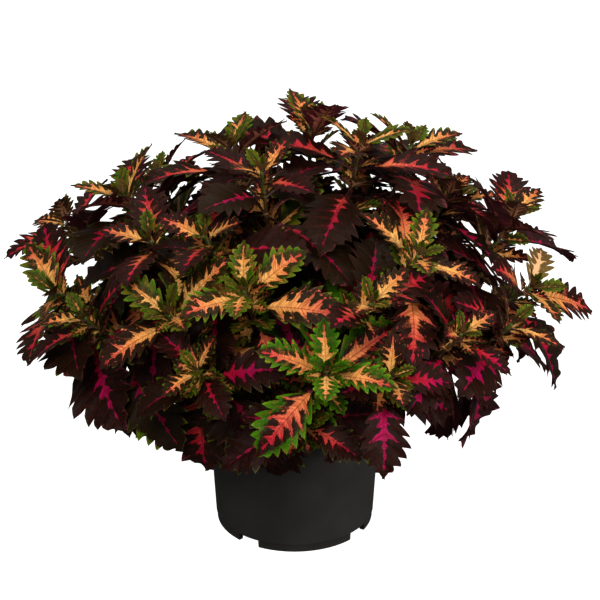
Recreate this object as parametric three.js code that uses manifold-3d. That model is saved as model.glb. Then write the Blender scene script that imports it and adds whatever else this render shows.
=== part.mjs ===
// A coleus in its nursery pot: a round pot on four feet, the peat that fills it, and a mound of
// leafy stems that each rise out of a hole of their own. Millimetres, +Z up. The origin is the
// middle of the pot's foot, on the surface that it stands on, and the front of the plant faces -Y.
import * as THREE from "three";
import { mergeVertices } from "three/addons/utils/BufferGeometryUtils.js";
import Module from "manifold-3d";

const wasm = await Module();
wasm.setup();

// ---------------------------------------------------------------- driving dimensions

const POT = {
  footRadius: 67, // outside, where the wall meets the surface
  wallTopRadius: 74.7,
  height: 138,
  rimRadius: 80,
  rimDrop: 9, // how far the rolled rim reaches down the wall
  rimRound: 1.2,
  rimFilled: 2, // inside, the wall starts to thicken this far below the rim
  wall: 1.6,
  footHeight: 7.2,
  footWidth: 5,
  footDraft: 0.6,
  stepOut: 0.5, // the wall stands this far out over the feet
  stepRise: 0.6,
  floor: 2.4,
  sides: 30,
  notches: 4,
  notchAngle: 17.5, // degrees of the foot ring that each notch takes away
  notchTurn: 36, // degrees from the front to the first notch, clockwise from above
  notchHeight: 6.8,
  notchDepth: 14, // inwards from the outside of the foot ring
  drainHoles: 4,
  drainRadius: 5,
  drainSides: 6,
  drainCircle: 46,
};
const PEAT = { middle: 125, edge: 121.5, clearance: 0.45 };
const STEM = {
  buried: 20, // length of stem below the peat
  rootHalf: 2.5, // half the width across the square stem where it leaves the peat
  tipHalf: 1.2,
  taper: 120, // the length over which the stem reaches its full width
  plainRings: 2, // below its leaves
  holeClearance: 0.3,
  holeCircle: 57, // the outermost stems stand on this radius
  rise: 58, // how strongly a stem starts upwards
  follow: 0.42, // how strongly it ends along its own tip, as a share of its span
  footSpread: 0.8, // under 1, the feet of the steeper stems stand further out
};
const MOUND = { middle: 150, radius: 185, height: 185, uprightness: 0.38 };

// One entry for each pair of leaves, from the youngest at the tip of the stem down.
const PAIRS = [
  { below: 1.4, node: 1.2, petiole: 5, blade: 19, pitch: 38, bend: 14, sag: 0, teeth: 1, ribs: 1 },
  { below: 5, node: 1.4, petiole: 6, blade: 35, pitch: 48, bend: 22, sag: 0.02, teeth: 2, ribs: 1 },
  { below: 12, node: 1.8, petiole: 10, blade: 51, pitch: 60, bend: 30, sag: 0.05, teeth: 3, ribs: 2 },
  { below: 25, node: 2, petiole: 15, blade: 66, pitch: 74, bend: 36, sag: 0.1, teeth: 4, ribs: 3 },
  { below: 43, node: 2.2, petiole: 20, blade: 77, pitch: 86, bend: 40, sag: 0.18, teeth: 4, ribs: 3 },
  { below: 66, node: 2.2, petiole: 22, blade: 78, pitch: 97, bend: 42, sag: 0.26, teeth: 3, ribs: 2 },
];
const LEAF = {
  halfWidth: 0.33, // of the blade's length
  baseTaper: 0.6, // how the blade narrows: under 1 is round, over 1 is drawn out
  tipTaper: 1.15,
  thickness: 1.1, // at the midrib; the margin is thinner
  thinning: 0.4, // the share of the midrib's thickness that is gone at the tip
  petioleHalf: 1.1,
  petioleShare: 0.8, // a leaf is never taken to start further along its petiole than this
  flare: 2.8, // how much wider a petiole is where it leaves its stem
  skyward: 0.5, // how much a blade turns its face up, where 0 is along its stem
  fold: 14, // degrees that each half of the blade rises from the midrib
  toothDepth: 0.27, // of the half width
  firstTooth: 0.15,
  lastTooth: 0.8,
  onlyTooth: 0.4, // on the youngest leaves
  notch: 0.45, // of the way from one tooth to the next
  sweep: 0.62, // how far the side veins run forward for each unit that they run outwards
  clearance: 0.45, // kept free round a leaf
  ownStemGap: 5, // a petiole may touch its own stem this near to its middle
  leastPitch: 35, // the nearest to its stem that a leaf is held, in degrees
  lowest: 8, // no leaf comes nearer than this to the surface
  spread: { turn: 16, pitch: 10, roll: 24, size: 0.12 }, // from leaf to leaf
};
const SEED = 1000;

// Where the tips of the stems are. turns holds the direction of each pair of leaves about its stem,
// in degrees, or turn that of the youngest pair alone, and each next pair then stands square to it.
// A stem leans away from the middle of the mound unless face, a compass direction, and lean say
// otherwise, and footTurn moves its foot round the pot.
const CROWNS = [
  { at: [-98, -122, 249], turns: [-80, 12, -60, 50, -174, 90], size: 1.2 },
  { at: [-39, -131, 274], turns: [-10, -98, -46, 0, 74, 160] },
  { at: [25, -171, 225], turns: [10, -84, 20, -36, 92, 45] },
  { at: [98, -84, 283], turns: [50, -38, 66, 120, -132, 141] },
  { at: [14, 62, 334], turns: [110, 40, 60, 0, 147, 60], open: 0.85, size: 1.2 },
  { at: [-52, 50, 320], turns: [20, -20, 80, 30, 102, 78], open: 0.85, size: 1.1 },
  { at: [97, 55, 320], turns: [60, 110, 95, 10, 100, 30], size: 1.2 },
  { at: [-142, 32, 284], turns: [20, 70, 5, 5, 125, 60], lean: 26, open: 0.85, size: 1.25 },
  { at: [-198, -2, 211], turns: [0, -150, -140, -10, 10, -60], face: -150, lean: 45, size: 1.35 },
  { at: [129, 21, 292], turns: [-60, 33, -30, 100, 20, -60], lean: 28, footTurn: -10 },
  { at: [182, 29, 266], turns: [-60, 30, -6, 58, -100, 0], lean: 26, footTurn: 12, open: 0.85, size: 1.15 },
  { at: [196, -4, 217], turns: [45, -45, 30, 80, 20, 84], face: -30, lean: 46, size: 1.22 },
  { at: [60, -128, 262], turns: [70, -20, 160, 125, 45, -40] },
  { at: [132, -112, 228], turns: [90, 0, 81, -15, 20, -20], lean: 30, size: 0.9 },
  { at: [-115, -56, 283], turn: 40, size: 1.1 },
  { at: [-26, -40, 336], turn: 10 },
  { at: [-76, -148, 214], turns: [30, 120, 210, 150, 30, 120], size: 0.9 },
  { at: [76, -152, 210], turn: 10, size: 0.95 },
  { at: [-168, -76, 224], turns: [20, -60, 111, -20, 25, -50], lean: 40, size: 1.05 },
  { at: [176, -66, 214], turns: [0, 90, 50, 25, 80, 60], lean: 38, size: 1.12 },
  { at: [-118, 108, 272], turns: [0, 60, 180, 270, 360, 450], size: 1.1 },
  { at: [-35, 146, 268], turn: 50, size: 1.1 },
  { at: [62, 144, 270], turn: 20, size: 1.1 },
  { at: [140, 82, 262], turns: [70, 100, 250, 340, 430, 520], size: 1.1 },
  { at: [-196, 80, 240], turns: [30, 120, 15, 300, 30, 120], size: 1.1 },
  { at: [-96, 156, 200], turn: 80, size: 1.1 },
  { at: [30, 171, 200], turn: 10, size: 1.1 },
  { at: [135, 132, 196], turn: 50 },
  { at: [54, 8, 342], turn: 20, size: 1.1 },
  { at: [6, -156, 172], turns: [20, 110, 200, 350, 380, 470], size: 0.9 },
  { at: [-70, -85, 300], turn: 65 },
];

const COLOURS = {
  pot: { color: 0x1b1b1c, roughness: 0.55, metalness: 0 },
  peat: { color: 0x2a1c14, roughness: 0.95, metalness: 0 },
  plant: { color: 0x4a1418, roughness: 0.5, metalness: 0 },
};

// ---------------------------------------------------------------- small helpers

const vec = (x, y, z) => new THREE.Vector3(x, y, z);
const UP = vec(0, 0, 1);
const radians = THREE.MathUtils.degToRad;
const lerp = THREE.MathUtils.lerp;
const clamp = THREE.MathUtils.clamp;
const spread = (draw, range) => range * (draw() - 0.5);

/** Draws from 0 to 1 that are the same on every run. */
function drawsFrom(seed) {
  let state = seed >>> 0;
  return () => {
    state = (state + 0x6d2b79f5) >>> 0;
    let t = Math.imul(state ^ (state >>> 15), state | 1);
    t ^= t + Math.imul(t ^ (t >>> 7), t | 61);
    return ((t ^ (t >>> 14)) >>> 0) / 4294967296;
  };
}

/** A closed solid from points and triangles. */
function solidFrom(points, triangles) {
  const vertProperties = new Float32Array(points.flatMap((p) => [p.x, p.y, p.z]));
  const triVerts = new Uint32Array(triangles.flat());
  return new wasm.Manifold(new wasm.Mesh({ numProp: 3, vertProperties, triVerts }));
}

/** The solid of a three.js geometry, moved by a matrix if one is given. */
function solidOf(geometry, matrix = new THREE.Matrix4()) {
  const bare = geometry.clone().applyMatrix4(matrix);
  bare.deleteAttribute("normal");
  bare.deleteAttribute("uv");
  const { attributes, index } = mergeVertices(bare, 1e-4);
  const vertProperties = new Float32Array(attributes.position.array);
  const triVerts = new Uint32Array(index.array);
  return new wasm.Manifold(new wasm.Mesh({ numProp: 3, vertProperties, triVerts }));
}

/** A named mesh with the given finish from a solid. */
function meshOf(name, solid, finish) {
  const { vertProperties, triVerts, numProp } = solid.getMesh();
  const geometry = new THREE.BufferGeometry();
  const position = new Float32Array((vertProperties.length / numProp) * 3);
  for (let i = 0; i * numProp < vertProperties.length; i++) {
    position.set(vertProperties.subarray(i * numProp, i * numProp + 3), i * 3);
  }
  geometry.setAttribute("position", new THREE.BufferAttribute(position, 3));
  geometry.setIndex(new THREE.BufferAttribute(new Uint32Array(triVerts), 1));
  geometry.computeVertexNormals();
  const mesh = new THREE.Mesh(geometry, new THREE.MeshStandardMaterial(finish));
  mesh.name = name;
  return mesh;
}

/** A turned solid about Z from [radius, height] pairs that start and end on the axis. */
function turned(profile, sides) {
  const points = profile.map(([radius, height]) => new THREE.Vector2(radius, height));
  const geometry = new THREE.LatheGeometry(points, sides);
  return solidOf(geometry, new THREE.Matrix4().makeRotationX(Math.PI / 2));
}

// ---------------------------------------------------------------- pot and peat

function potSolid() {
  const p = POT;
  const wallAt = (z) => lerp(p.footRadius, p.wallTopRadius, z / (p.height - p.rimDrop));
  const rimBottom = p.height - p.rimDrop;
  const floorTop = p.footHeight + p.floor;
  const profile = [
    [0, p.footHeight],
    [p.footRadius - p.footWidth, p.footHeight],
    [p.footRadius - p.footWidth + p.footDraft, 0],
    [p.footRadius, 0],
    [wallAt(p.footHeight), p.footHeight],
    [wallAt(p.footHeight) + p.stepOut, p.footHeight + p.stepRise],
    [p.wallTopRadius, rimBottom],
    [p.rimRadius - p.rimRound, rimBottom + p.rimRound / 2],
    [p.rimRadius, rimBottom + 2 * p.rimRound],
    [p.rimRadius, p.height - p.rimRound],
    [p.rimRadius - p.rimRound, p.height],
    [p.rimRadius - 3 * p.rimRound, p.height],
    [p.wallTopRadius - p.wall, rimBottom - p.rimFilled],
    [wallAt(floorTop) - p.wall, floorTop],
    [0, floorTop],
  ];
  let pot = turned(profile, p.sides);
  const notchWidth = 2 * p.footRadius * Math.sin(radians(p.notchAngle / 2));
  for (let i = 0; i < p.notches; i++) {
    const angle = radians(-90 - p.notchTurn + (360 / p.notches) * i);
    const notch = new THREE.BoxGeometry(2 * p.notchDepth, notchWidth, 2 * p.notchHeight);
    const place = new THREE.Matrix4()
      .makeRotationZ(angle)
      .multiply(new THREE.Matrix4().makeTranslation(p.footRadius, 0, 0));
    pot = pot.subtract(solidOf(notch, place));
  }
  for (let i = 0; i < p.drainHoles; i++) {
    const angle = (2 * Math.PI * i) / p.drainHoles;
    const hole = new THREE.CylinderGeometry(p.drainRadius, p.drainRadius, 4 * p.floor, p.drainSides);
    const place = new THREE.Matrix4()
      .makeTranslation(
        p.drainCircle * Math.cos(angle),
        p.drainCircle * Math.sin(angle),
        p.footHeight + p.floor / 2,
      )
      .multiply(new THREE.Matrix4().makeRotationX(Math.PI / 2));
    pot = pot.subtract(solidOf(hole, place));
  }
  return pot;
}

const peatHeight = (radius) => lerp(PEAT.middle, PEAT.edge, clamp(radius / POT.wallTopRadius, 0, 1));

function peatSolid(shoots) {
  const inside = (z) =>
    lerp(POT.footRadius, POT.wallTopRadius, z / (POT.height - POT.rimDrop)) -
    POT.wall -
    PEAT.clearance;
  const bottom = POT.footHeight + POT.floor + PEAT.clearance;
  let peat = turned(
    [
      [0, bottom],
      [inside(bottom), bottom],
      [inside(PEAT.edge), PEAT.edge],
      [0, PEAT.middle],
    ],
    POT.sides,
  );
  const side = 2 * (STEM.rootHalf + STEM.holeClearance);
  const depth = 2 * (STEM.buried + STEM.holeClearance);
  for (const { stem, facings } of shoots) {
    const hole = new THREE.BoxGeometry(side, side, depth);
    const turn = Math.atan2(stem.side.y, stem.side.x) - radians(facings[facings.length - 1]);
    const place = new THREE.Matrix4()
      .makeTranslation(stem.foot.x, stem.foot.y, stem.foot.z)
      .multiply(new THREE.Matrix4().makeRotationZ(turn));
    peat = peat.subtract(solidOf(hole, place));
  }
  return peat;
}

// ---------------------------------------------------------------- stems

/** The route of a stem from the peat to its crown, and the frame that its leaves turn in. */
function stemRoute({ at, lean, face, footTurn = 0 }) {
  const crown = vec(...at);
  const around = Math.atan2(at[1], at[0]);
  const facing = face === undefined ? around : radians(face);
  const outwards = Math.hypot(at[0], at[1]) / MOUND.radius;
  const above = Math.max(at[2] - MOUND.middle, 0) / MOUND.height;
  const steepness = Math.atan2(outwards, above);
  const tilt = lean === undefined ? steepness * (1 - MOUND.uprightness) : radians(lean);
  const axis = vec(
    Math.sin(tilt) * Math.cos(facing),
    Math.sin(tilt) * Math.sin(facing),
    Math.cos(tilt),
  );
  const side = vec(-Math.sin(facing), Math.cos(facing), 0);
  const footRadius = STEM.holeCircle * Math.pow(steepness / (Math.PI / 2), STEM.footSpread);
  const footAround = around + radians(footTurn);
  const foot = vec(
    footRadius * Math.cos(footAround),
    footRadius * Math.sin(footAround),
    peatHeight(footRadius),
  );
  const span = crown.distanceTo(foot);
  const curve = new THREE.CubicBezierCurve3(
    foot,
    foot.clone().addScaledVector(UP, STEM.rise),
    crown.clone().addScaledVector(axis, -STEM.follow * span),
    crown,
  );
  return { foot, crown, axis, side, curve };
}

const CURVE_STEPS = 80;

/** The free length of a stem, from the peat to its crown. */
function stemLength(stem) {
  let length = 0;
  for (let i = 0; i < CURVE_STEPS; i++) {
    const ends = [i, i + 1].map((step) => stem.curve.getPoint(step / CURVE_STEPS));
    length += ends[0].distanceTo(ends[1]);
  }
  return length;
}

/** The point and the directions of a stem at a distance below its crown. */
function stemAt(stem, below) {
  let last = stem.crown.clone();
  let left = below;
  for (let i = CURVE_STEPS - 1; i >= 0; i--) {
    const next = stem.curve.getPoint(i / CURVE_STEPS);
    const step = last.distanceTo(next);
    if (step >= left || i === 0) {
      const point = last.clone().lerp(next, Math.min(left / step, 1));
      return { point, ...crossAxes(last.clone().sub(next).normalize(), stem.side) };
    }
    left -= step;
    last = next;
  }
}

/** The unit directions along a stem, to its side, and square to both. */
function crossAxes(along, side) {
  const across = side.clone().addScaledVector(along, -side.dot(along)).normalize();
  return { along, across, front: across.clone().cross(along) };
}

/** A mesh under construction, which hands out a number for each point that it is given. */
class Shell {
  points = [];
  triangles = [];

  add(point) {
    return this.points.push(point) - 1;
  }

  solid() {
    return solidFrom(this.points, this.triangles);
  }
}

/** The direction of a pair of leaves about its stem, in degrees. */
const pairTurn = (crown, level) => (crown.turns ? crown.turns[level] : crown.turn + 90 * level);

/** The directions that a stem's four sides face at each pair: the pair's own, turned as little as can be. */
function stemFacings(crown) {
  let last = pairTurn(crown, PAIRS.length - 1);
  return PAIRS.map((_, i) => PAIRS.length - 1 - i)
    .map((level) => {
      const own = pairTurn(crown, level);
      last = own + 90 * Math.round((last - own) / 90);
      return last;
    })
    .reverse();
}

/**
 * The rings of a stem from its crown down, two for each pair of leaves and the rest plain. A ring
 * has four corners, and at a pair its sides face where the two leaves leave it.
 */
function stemRings(stem, facings) {
  const rings = [];
  const lowestFacing = facings[facings.length - 1];
  const ring = (below, level) => {
    const turn = level === undefined ? lowestFacing : facings[level];
    const { point, along, across, front } = stemAt(stem, below);
    const half = lerp(STEM.tipHalf, STEM.rootHalf, Math.min(below / STEM.taper, 1));
    const corners = [45, 135, 225, 315].map((corner) => {
      const angle = radians(turn + corner);
      return point
        .clone()
        .addScaledVector(across, Math.SQRT2 * half * Math.cos(angle))
        .addScaledVector(front, Math.SQRT2 * half * Math.sin(angle));
    });
    rings.push({ corners, level });
  };
  PAIRS.forEach(({ below, node }, level) => {
    ring(below - node, level);
    ring(below + node, level);
  });
  const lowest = PAIRS[PAIRS.length - 1].below + PAIRS[PAIRS.length - 1].node;
  const free = stemLength(stem) - lowest;
  for (let i = 1; i <= STEM.plainRings; i++) ring(lowest + (free * i) / STEM.plainRings);
  const buried = rings[rings.length - 1].corners.map((c) => c.clone().addScaledVector(UP, -STEM.buried));
  rings.push({ corners: buried });
  return rings;
}

/**
 * The square stem in a shell of its own. Where a leaf leaves it, the side is kept open if petioles
 * has the neck of that leaf, and the petiole closes it.
 */
function stemShell(rings, shell, petioles = []) {
  const ids = rings.map(({ corners }) => corners.map((corner) => shell.add(corner)));
  const [top, bottom] = [ids[0], ids[ids.length - 1]];
  shell.triangles.push([top[0], top[2], top[1]], [top[0], top[3], top[2]]);
  shell.triangles.push([bottom[0], bottom[1], bottom[2]], [bottom[0], bottom[2], bottom[3]]);
  for (let i = 0; i + 1 < ids.length; i++) {
    for (let side = 0; side < 4; side++) {
      const next = (side + 1) % 4;
      const [upperRight, upperLeft] = [ids[i][side], ids[i][next]];
      const [lowerRight, lowerLeft] = [ids[i + 1][side], ids[i + 1][next]];
      const sameLevel = rings[i].level !== undefined && rings[i].level === rings[i + 1].level;
      const neck = sameLevel && petioles.find((p) => p.level === rings[i].level && p.side === side);
      if (neck) {
        const [right, left, under] = neck.ids;
        shell.triangles.push(
          [lowerLeft, lowerRight, under],
          [lowerRight, upperRight, right],
          [lowerRight, right, under],
          [upperRight, upperLeft, left],
          [upperRight, left, right],
          [upperLeft, lowerLeft, under],
          [upperLeft, under, left],
        );
      } else {
        shell.triangles.push([lowerLeft, lowerRight, upperRight], [lowerLeft, upperRight, upperLeft]);
      }
    }
  }
}

// ---------------------------------------------------------------- leaves

/** The half width of a blade at a share u of its length, as a share of the widest. */
const leafOutline = (u) => taper(u) / taper(LEAF.baseTaper / (LEAF.baseTaper + LEAF.tipTaper));
const taper = (u) => Math.pow(u, LEAF.baseTaper) * Math.pow(1 - u, LEAF.tipTaper);

/** A leaf of a pair as its crown has it: its size and how it is held, with its own small differences. */
function leafOf({ size = 1, open = 1 }, pair, turn, draw) {
  const scale = size * (1 + spread(draw, LEAF.spread.size));
  return {
    ...pair,
    blade: pair.blade * scale,
    petiole: pair.petiole * scale,
    turn: turn + spread(draw, LEAF.spread.turn),
    pitch: Math.max(pair.pitch * open + spread(draw, LEAF.spread.pitch), LEAF.leastPitch),
    roll: spread(draw, LEAF.spread.roll),
  };
}

/** Where a leaf starts, how it is held, and how large it is. */
function leafPlace(stem, leaf, change) {
  const { point, along, across, front } = stemAt(stem, leaf.below);
  const angle = radians(leaf.turn + change.turn);
  const pitch = radians(leaf.pitch + change.pitch);
  const out = across.clone().multiplyScalar(Math.cos(angle)).addScaledVector(front, Math.sin(angle));
  const ahead = out.multiplyScalar(Math.sin(pitch)).addScaledVector(along, Math.cos(pitch));
  ahead.addScaledVector(UP, -leaf.sag).normalize();
  const face = along.clone().addScaledVector(UP, LEAF.skyward);
  face.addScaledVector(ahead, -face.dot(ahead)).normalize();
  face.applyAxisAngle(ahead, radians(leaf.roll + change.roll));
  return {
    root: point,
    ahead,
    face,
    petiole: leaf.petiole * change.size,
    length: leaf.blade * change.size,
    bend: radians(leaf.bend),
    teeth: leaf.teeth,
    ribs: leaf.ribs,
  };
}

/** A function that gives the point of a blade at u along the midrib and v across, from -1 to 1. */
function bladeSurface(place) {
  const { root, ahead, face, petiole, length, bend } = place;
  const start = root.clone().addScaledVector(ahead, petiole);
  const across = face.clone().cross(ahead);
  const lift = Math.sin(radians(LEAF.fold));
  const flat = Math.cos(radians(LEAF.fold));
  return (u, v, grow = 0) => {
    const angle = bend * u;
    const tangent = ahead.clone().multiplyScalar(Math.cos(angle));
    tangent.addScaledVector(face, -Math.sin(angle));
    const normal = face.clone().multiplyScalar(Math.cos(angle));
    normal.addScaledVector(ahead, Math.sin(angle));
    const half = (LEAF.halfWidth * length * leafOutline(u) + grow) * Math.abs(v);
    const point = start
      .clone()
      .addScaledVector(ahead, (length * Math.sin(angle)) / bend)
      .addScaledVector(face, (-length * (1 - Math.cos(angle))) / bend)
      .addScaledVector(across, Math.sign(v) * half * flat)
      .addScaledVector(normal, half * lift)
      .addScaledVector(tangent, half * LEAF.sweep);
    return { point, normal };
  };
}

/** The triangles between two rows of vertices that run the same way and share their last one. */
function strip(left, right) {
  const found = [];
  let i = 0;
  let j = 0;
  while (i + 1 < left.length || j + 1 < right.length) {
    const nextLeft = left[i + 1];
    const nextRight = right[j + 1];
    const takeLeft = nextRight === undefined || (nextLeft !== undefined && nextLeft.u <= nextRight.u);
    if (takeLeft) found.push([left[i].id, right[j].id, nextLeft.id]);
    else found.push([left[i].id, right[j].id, nextRight.id]);
    if (takeLeft) i++;
    else j++;
  }
  return found.filter(([a, b, c]) => a !== b && b !== c && a !== c);
}

/** Adds a toothed blade, thickest at its midrib, and returns its neck's right, left and under points. */
function bladeShell(place, shell, grow = 0) {
  const surface = bladeSurface(place);
  const add = (point, u) => ({ id: shell.add(point), u });
  const neck = neckRing(place, place.petiole, grow).map((point) => add(point, 0));
  const tip = add(surface(1, 1).point.addScaledVector(place.ahead, grow), 1);
  const step = (LEAF.lastTooth - LEAF.firstTooth) / Math.max(place.teeth - 1, 1);
  const first = place.teeth === 1 ? LEAF.onlyTooth : LEAF.firstTooth;
  const [right, left] = [0, 1].map((side) => {
    const sign = side === 0 ? 1 : -1;
    const edge = [neck[side]];
    for (let tooth = 0; tooth < place.teeth; tooth++) {
      const u = first + tooth * step;
      edge.push(add(surface(u, sign, grow).point, u));
      if (tooth + 1 < place.teeth) {
        const notch = u + LEAF.notch * step;
        edge.push(add(surface(notch, sign * (1 - LEAF.toothDepth), grow).point, notch));
      }
    }
    return [...edge, tip];
  });
  const upper = [];
  const lower = [];
  for (let i = 1; i <= place.ribs; i++) {
    const u = i / (place.ribs + 1);
    const { point, normal } = surface(u, 0);
    const thick = (LEAF.thickness / 2) * (1 - LEAF.thinning * u) + grow;
    upper.push(add(point.clone().addScaledVector(normal, thick), u));
    lower.push(add(point.clone().addScaledVector(normal, -thick), u));
  }
  upper.push(tip);
  lower.push(tip);
  const under = [neck[2], ...lower];
  const flipped = (list) => list.map(([a, b, c]) => [a, c, b]);
  shell.triangles.push(
    ...strip(right, [neck[1], ...upper]),
    ...strip(upper, left),
    ...flipped(strip(right, under)),
    ...flipped(strip(under, left)),
  );
  return neck.map(({ id }) => id);
}

/** The three corners of a petiole at a distance from its root: right, left and under. */
function neckRing({ root, ahead, face }, distance, grow = 0) {
  const centre = root.clone().addScaledVector(ahead, distance);
  const across = face.clone().cross(ahead);
  const half = LEAF.petioleHalf + grow;
  return [
    centre.clone().addScaledVector(across, half).addScaledVector(face, half / 2),
    centre.clone().addScaledVector(across, -half).addScaledVector(face, half / 2),
    centre.clone().addScaledVector(face, -half),
  ];
}

/** A leaf as a closed solid of its own, with its petiole from a distance off the stem's middle. */
function leafSolid(place, from, grow = 0) {
  const shell = new Shell();
  const neck = bladeShell(place, shell, grow);
  const flare = from === 0 ? grow + LEAF.flare : grow;
  const start = Math.min(from, LEAF.petioleShare * place.petiole);
  const end = neckRing(place, start, flare).map((point) => shell.add(point));
  for (let i = 0; i < 3; i++) {
    const j = (i + 1) % 3;
    shell.triangles.push([neck[i], end[i], end[j]], [neck[i], end[j], neck[j]]);
  }
  shell.triangles.push([end[0], end[2], end[1]]);
  return shell.solid();
}

/** How a leaf may be held differently where its neighbours leave no room, nearest to its own first. */
function* leafChanges() {
  const turns = [
    [0, 0], [9, 0], [-9, 0], [0, 12], [0, -12], [9, 12], [9, -12], [-9, 12], [-9, -12],
    [18, 0], [-18, 0], [0, 24], [0, -24], [18, 18], [18, -18], [-18, 18], [-18, -18], [28, 0], [-28, 0],
  ];
  for (const size of [1, 0.88, 0.76, 0.62]) {
    for (const [pitch, turn] of turns) {
      for (const roll of [0, 16, -16]) yield { size, pitch, turn, roll };
    }
  }
}

// ---------------------------------------------------------------- the plant

const boxesMeet = (a, b) => [0, 1, 2].every((i) => a.min[i] <= b.max[i] && b.min[i] <= a.max[i]);

/** Whether a solid cuts any of the others, each of which comes with its box. */
function crosses(solid, others) {
  const box = solid.boundingBox();
  return others.some((other) => boxesMeet(box, other.box) && !solid.intersect(other.solid).isEmpty());
}

const boxed = (solid, owner) => ({ solid, box: solid.boundingBox(), owner });

/** The first way to hold a leaf in which it clears everything that is already there, if there is one. */
function roomFor(stem, leaf, owner, others) {
  for (const change of leafChanges()) {
    const place = leafPlace(stem, leaf, change);
    const whole = leafSolid(place, 0, LEAF.clearance);
    if (whole.boundingBox().min[2] < LEAF.lowest) continue;
    if (crosses(whole, others.filter((other) => other.owner !== owner && !other.outer))) continue;
    const outer = leafSolid(place, LEAF.ownStemGap, LEAF.clearance);
    if (crosses(outer, others.filter((other) => other.owner === owner && !other.whole))) continue;
    return place;
  }
  return null;
}

/** The pot, the peat and the leafy stems, with every leaf held clear of all that came before it. */
function growPlant() {
  const shoots = CROWNS.map((crown, i) => {
    const stem = stemRoute(crown);
    const facings = stemFacings(crown);
    const rings = stemRings(stem, facings);
    return { stem, crown, facings, rings, draw: drawsFrom(SEED + i), leaves: [] };
  });
  const pot = potSolid();
  const peat = peatSolid(shoots);
  const filled = [boxed(pot, "pot"), boxed(peat, "peat")];
  shoots.forEach(({ rings }, i) => {
    const shell = new Shell();
    stemShell(rings, shell);
    filled.push(boxed(shell.solid(), i));
  });
  PAIRS.forEach((pair, level) => {
    shoots.forEach(({ stem, crown, facings, draw, leaves }, owner) => {
      for (const half of [0, 180]) {
        const turn = pairTurn(crown, level) + half;
        const place = roomFor(stem, leafOf(crown, pair, turn, draw), owner, filled);
        if (place) {
          filled.push({ ...boxed(leafSolid(place, LEAF.ownStemGap), owner), outer: true });
          filled.push({ ...boxed(leafSolid(place, 0), owner), whole: true });
          const quarter = Math.round((turn - facings[level]) / 90);
          leaves.push({ place, level, side: (((quarter - 1) % 4) + 4) % 4 });
        }
      }
    });
  });
  const stems = shoots.map(({ rings, leaves }) => {
    const shell = new Shell();
    const petioles = leaves.map((leaf) => ({ ...leaf, ids: bladeShell(leaf.place, shell) }));
    stemShell(rings, shell, petioles);
    return shell.solid();
  });
  return { pot, peat, stems };
}

const { pot, peat, stems } = growPlant();
const group = new THREE.Group();
group.name = "coleus_in_pot";
group.add(meshOf("pot", pot, COLOURS.pot), meshOf("peat", peat, COLOURS.peat));
stems.forEach((solid, i) => {
  const name = `leafy_stem_${String(i + 1).padStart(2, "0")}`;
  group.add(meshOf(name, solid, COLOURS.plant));
});

export default group;
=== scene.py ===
"""A coleus in its nursery pot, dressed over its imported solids.

Every leaf stands where its solid stands: the rule that grew the plant is followed again here, and
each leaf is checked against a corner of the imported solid. Lengths are millimetres until a mesh is
made, and metres in Blender.
"""

import logging
import math
from dataclasses import dataclass, field
from enum import IntEnum
from typing import Callable, Iterator, Optional, Sequence, Union

import bpy
import numpy as np
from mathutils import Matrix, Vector
from mathutils.kdtree import KDTree


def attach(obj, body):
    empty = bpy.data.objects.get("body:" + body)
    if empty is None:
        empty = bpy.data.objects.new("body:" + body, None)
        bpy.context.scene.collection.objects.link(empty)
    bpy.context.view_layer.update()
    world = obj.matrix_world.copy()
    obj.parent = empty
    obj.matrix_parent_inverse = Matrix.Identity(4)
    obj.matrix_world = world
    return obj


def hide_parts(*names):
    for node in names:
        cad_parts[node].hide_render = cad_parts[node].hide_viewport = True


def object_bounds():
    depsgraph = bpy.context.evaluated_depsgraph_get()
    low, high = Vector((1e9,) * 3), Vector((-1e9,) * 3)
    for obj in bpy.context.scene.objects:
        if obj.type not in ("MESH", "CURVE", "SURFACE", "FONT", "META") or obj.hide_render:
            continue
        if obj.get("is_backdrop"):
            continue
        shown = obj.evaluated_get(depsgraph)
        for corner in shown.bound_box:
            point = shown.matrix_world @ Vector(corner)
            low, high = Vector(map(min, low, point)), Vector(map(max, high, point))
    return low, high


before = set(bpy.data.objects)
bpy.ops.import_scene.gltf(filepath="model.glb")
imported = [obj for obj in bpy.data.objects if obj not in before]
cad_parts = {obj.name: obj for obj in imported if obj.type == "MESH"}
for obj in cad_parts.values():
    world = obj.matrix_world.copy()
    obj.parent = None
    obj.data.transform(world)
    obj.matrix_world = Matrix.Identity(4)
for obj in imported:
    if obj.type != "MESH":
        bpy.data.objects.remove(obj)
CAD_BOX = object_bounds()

LOG = logging.getLogger("coleus")
MM = 0.001
WORD = 0xFFFFFFFF  # the greatest whole number of 32 bits
Array = np.ndarray
Paint = tuple[float, float, float, float]
MARKS = ("vein", "age", "chance", "lime", "blush", "hem")  # the numbers that a mesh's points carry
COLUMNS = ("u", "v", *MARKS)
SHEET_WIDTH = 2.4  # the width of the sheet of leaf coordinates, in half widths of a blade
DRAWS = 8  # how many draws each leaf has


# ---------------------------------------------------------------- driving dimensions


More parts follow.
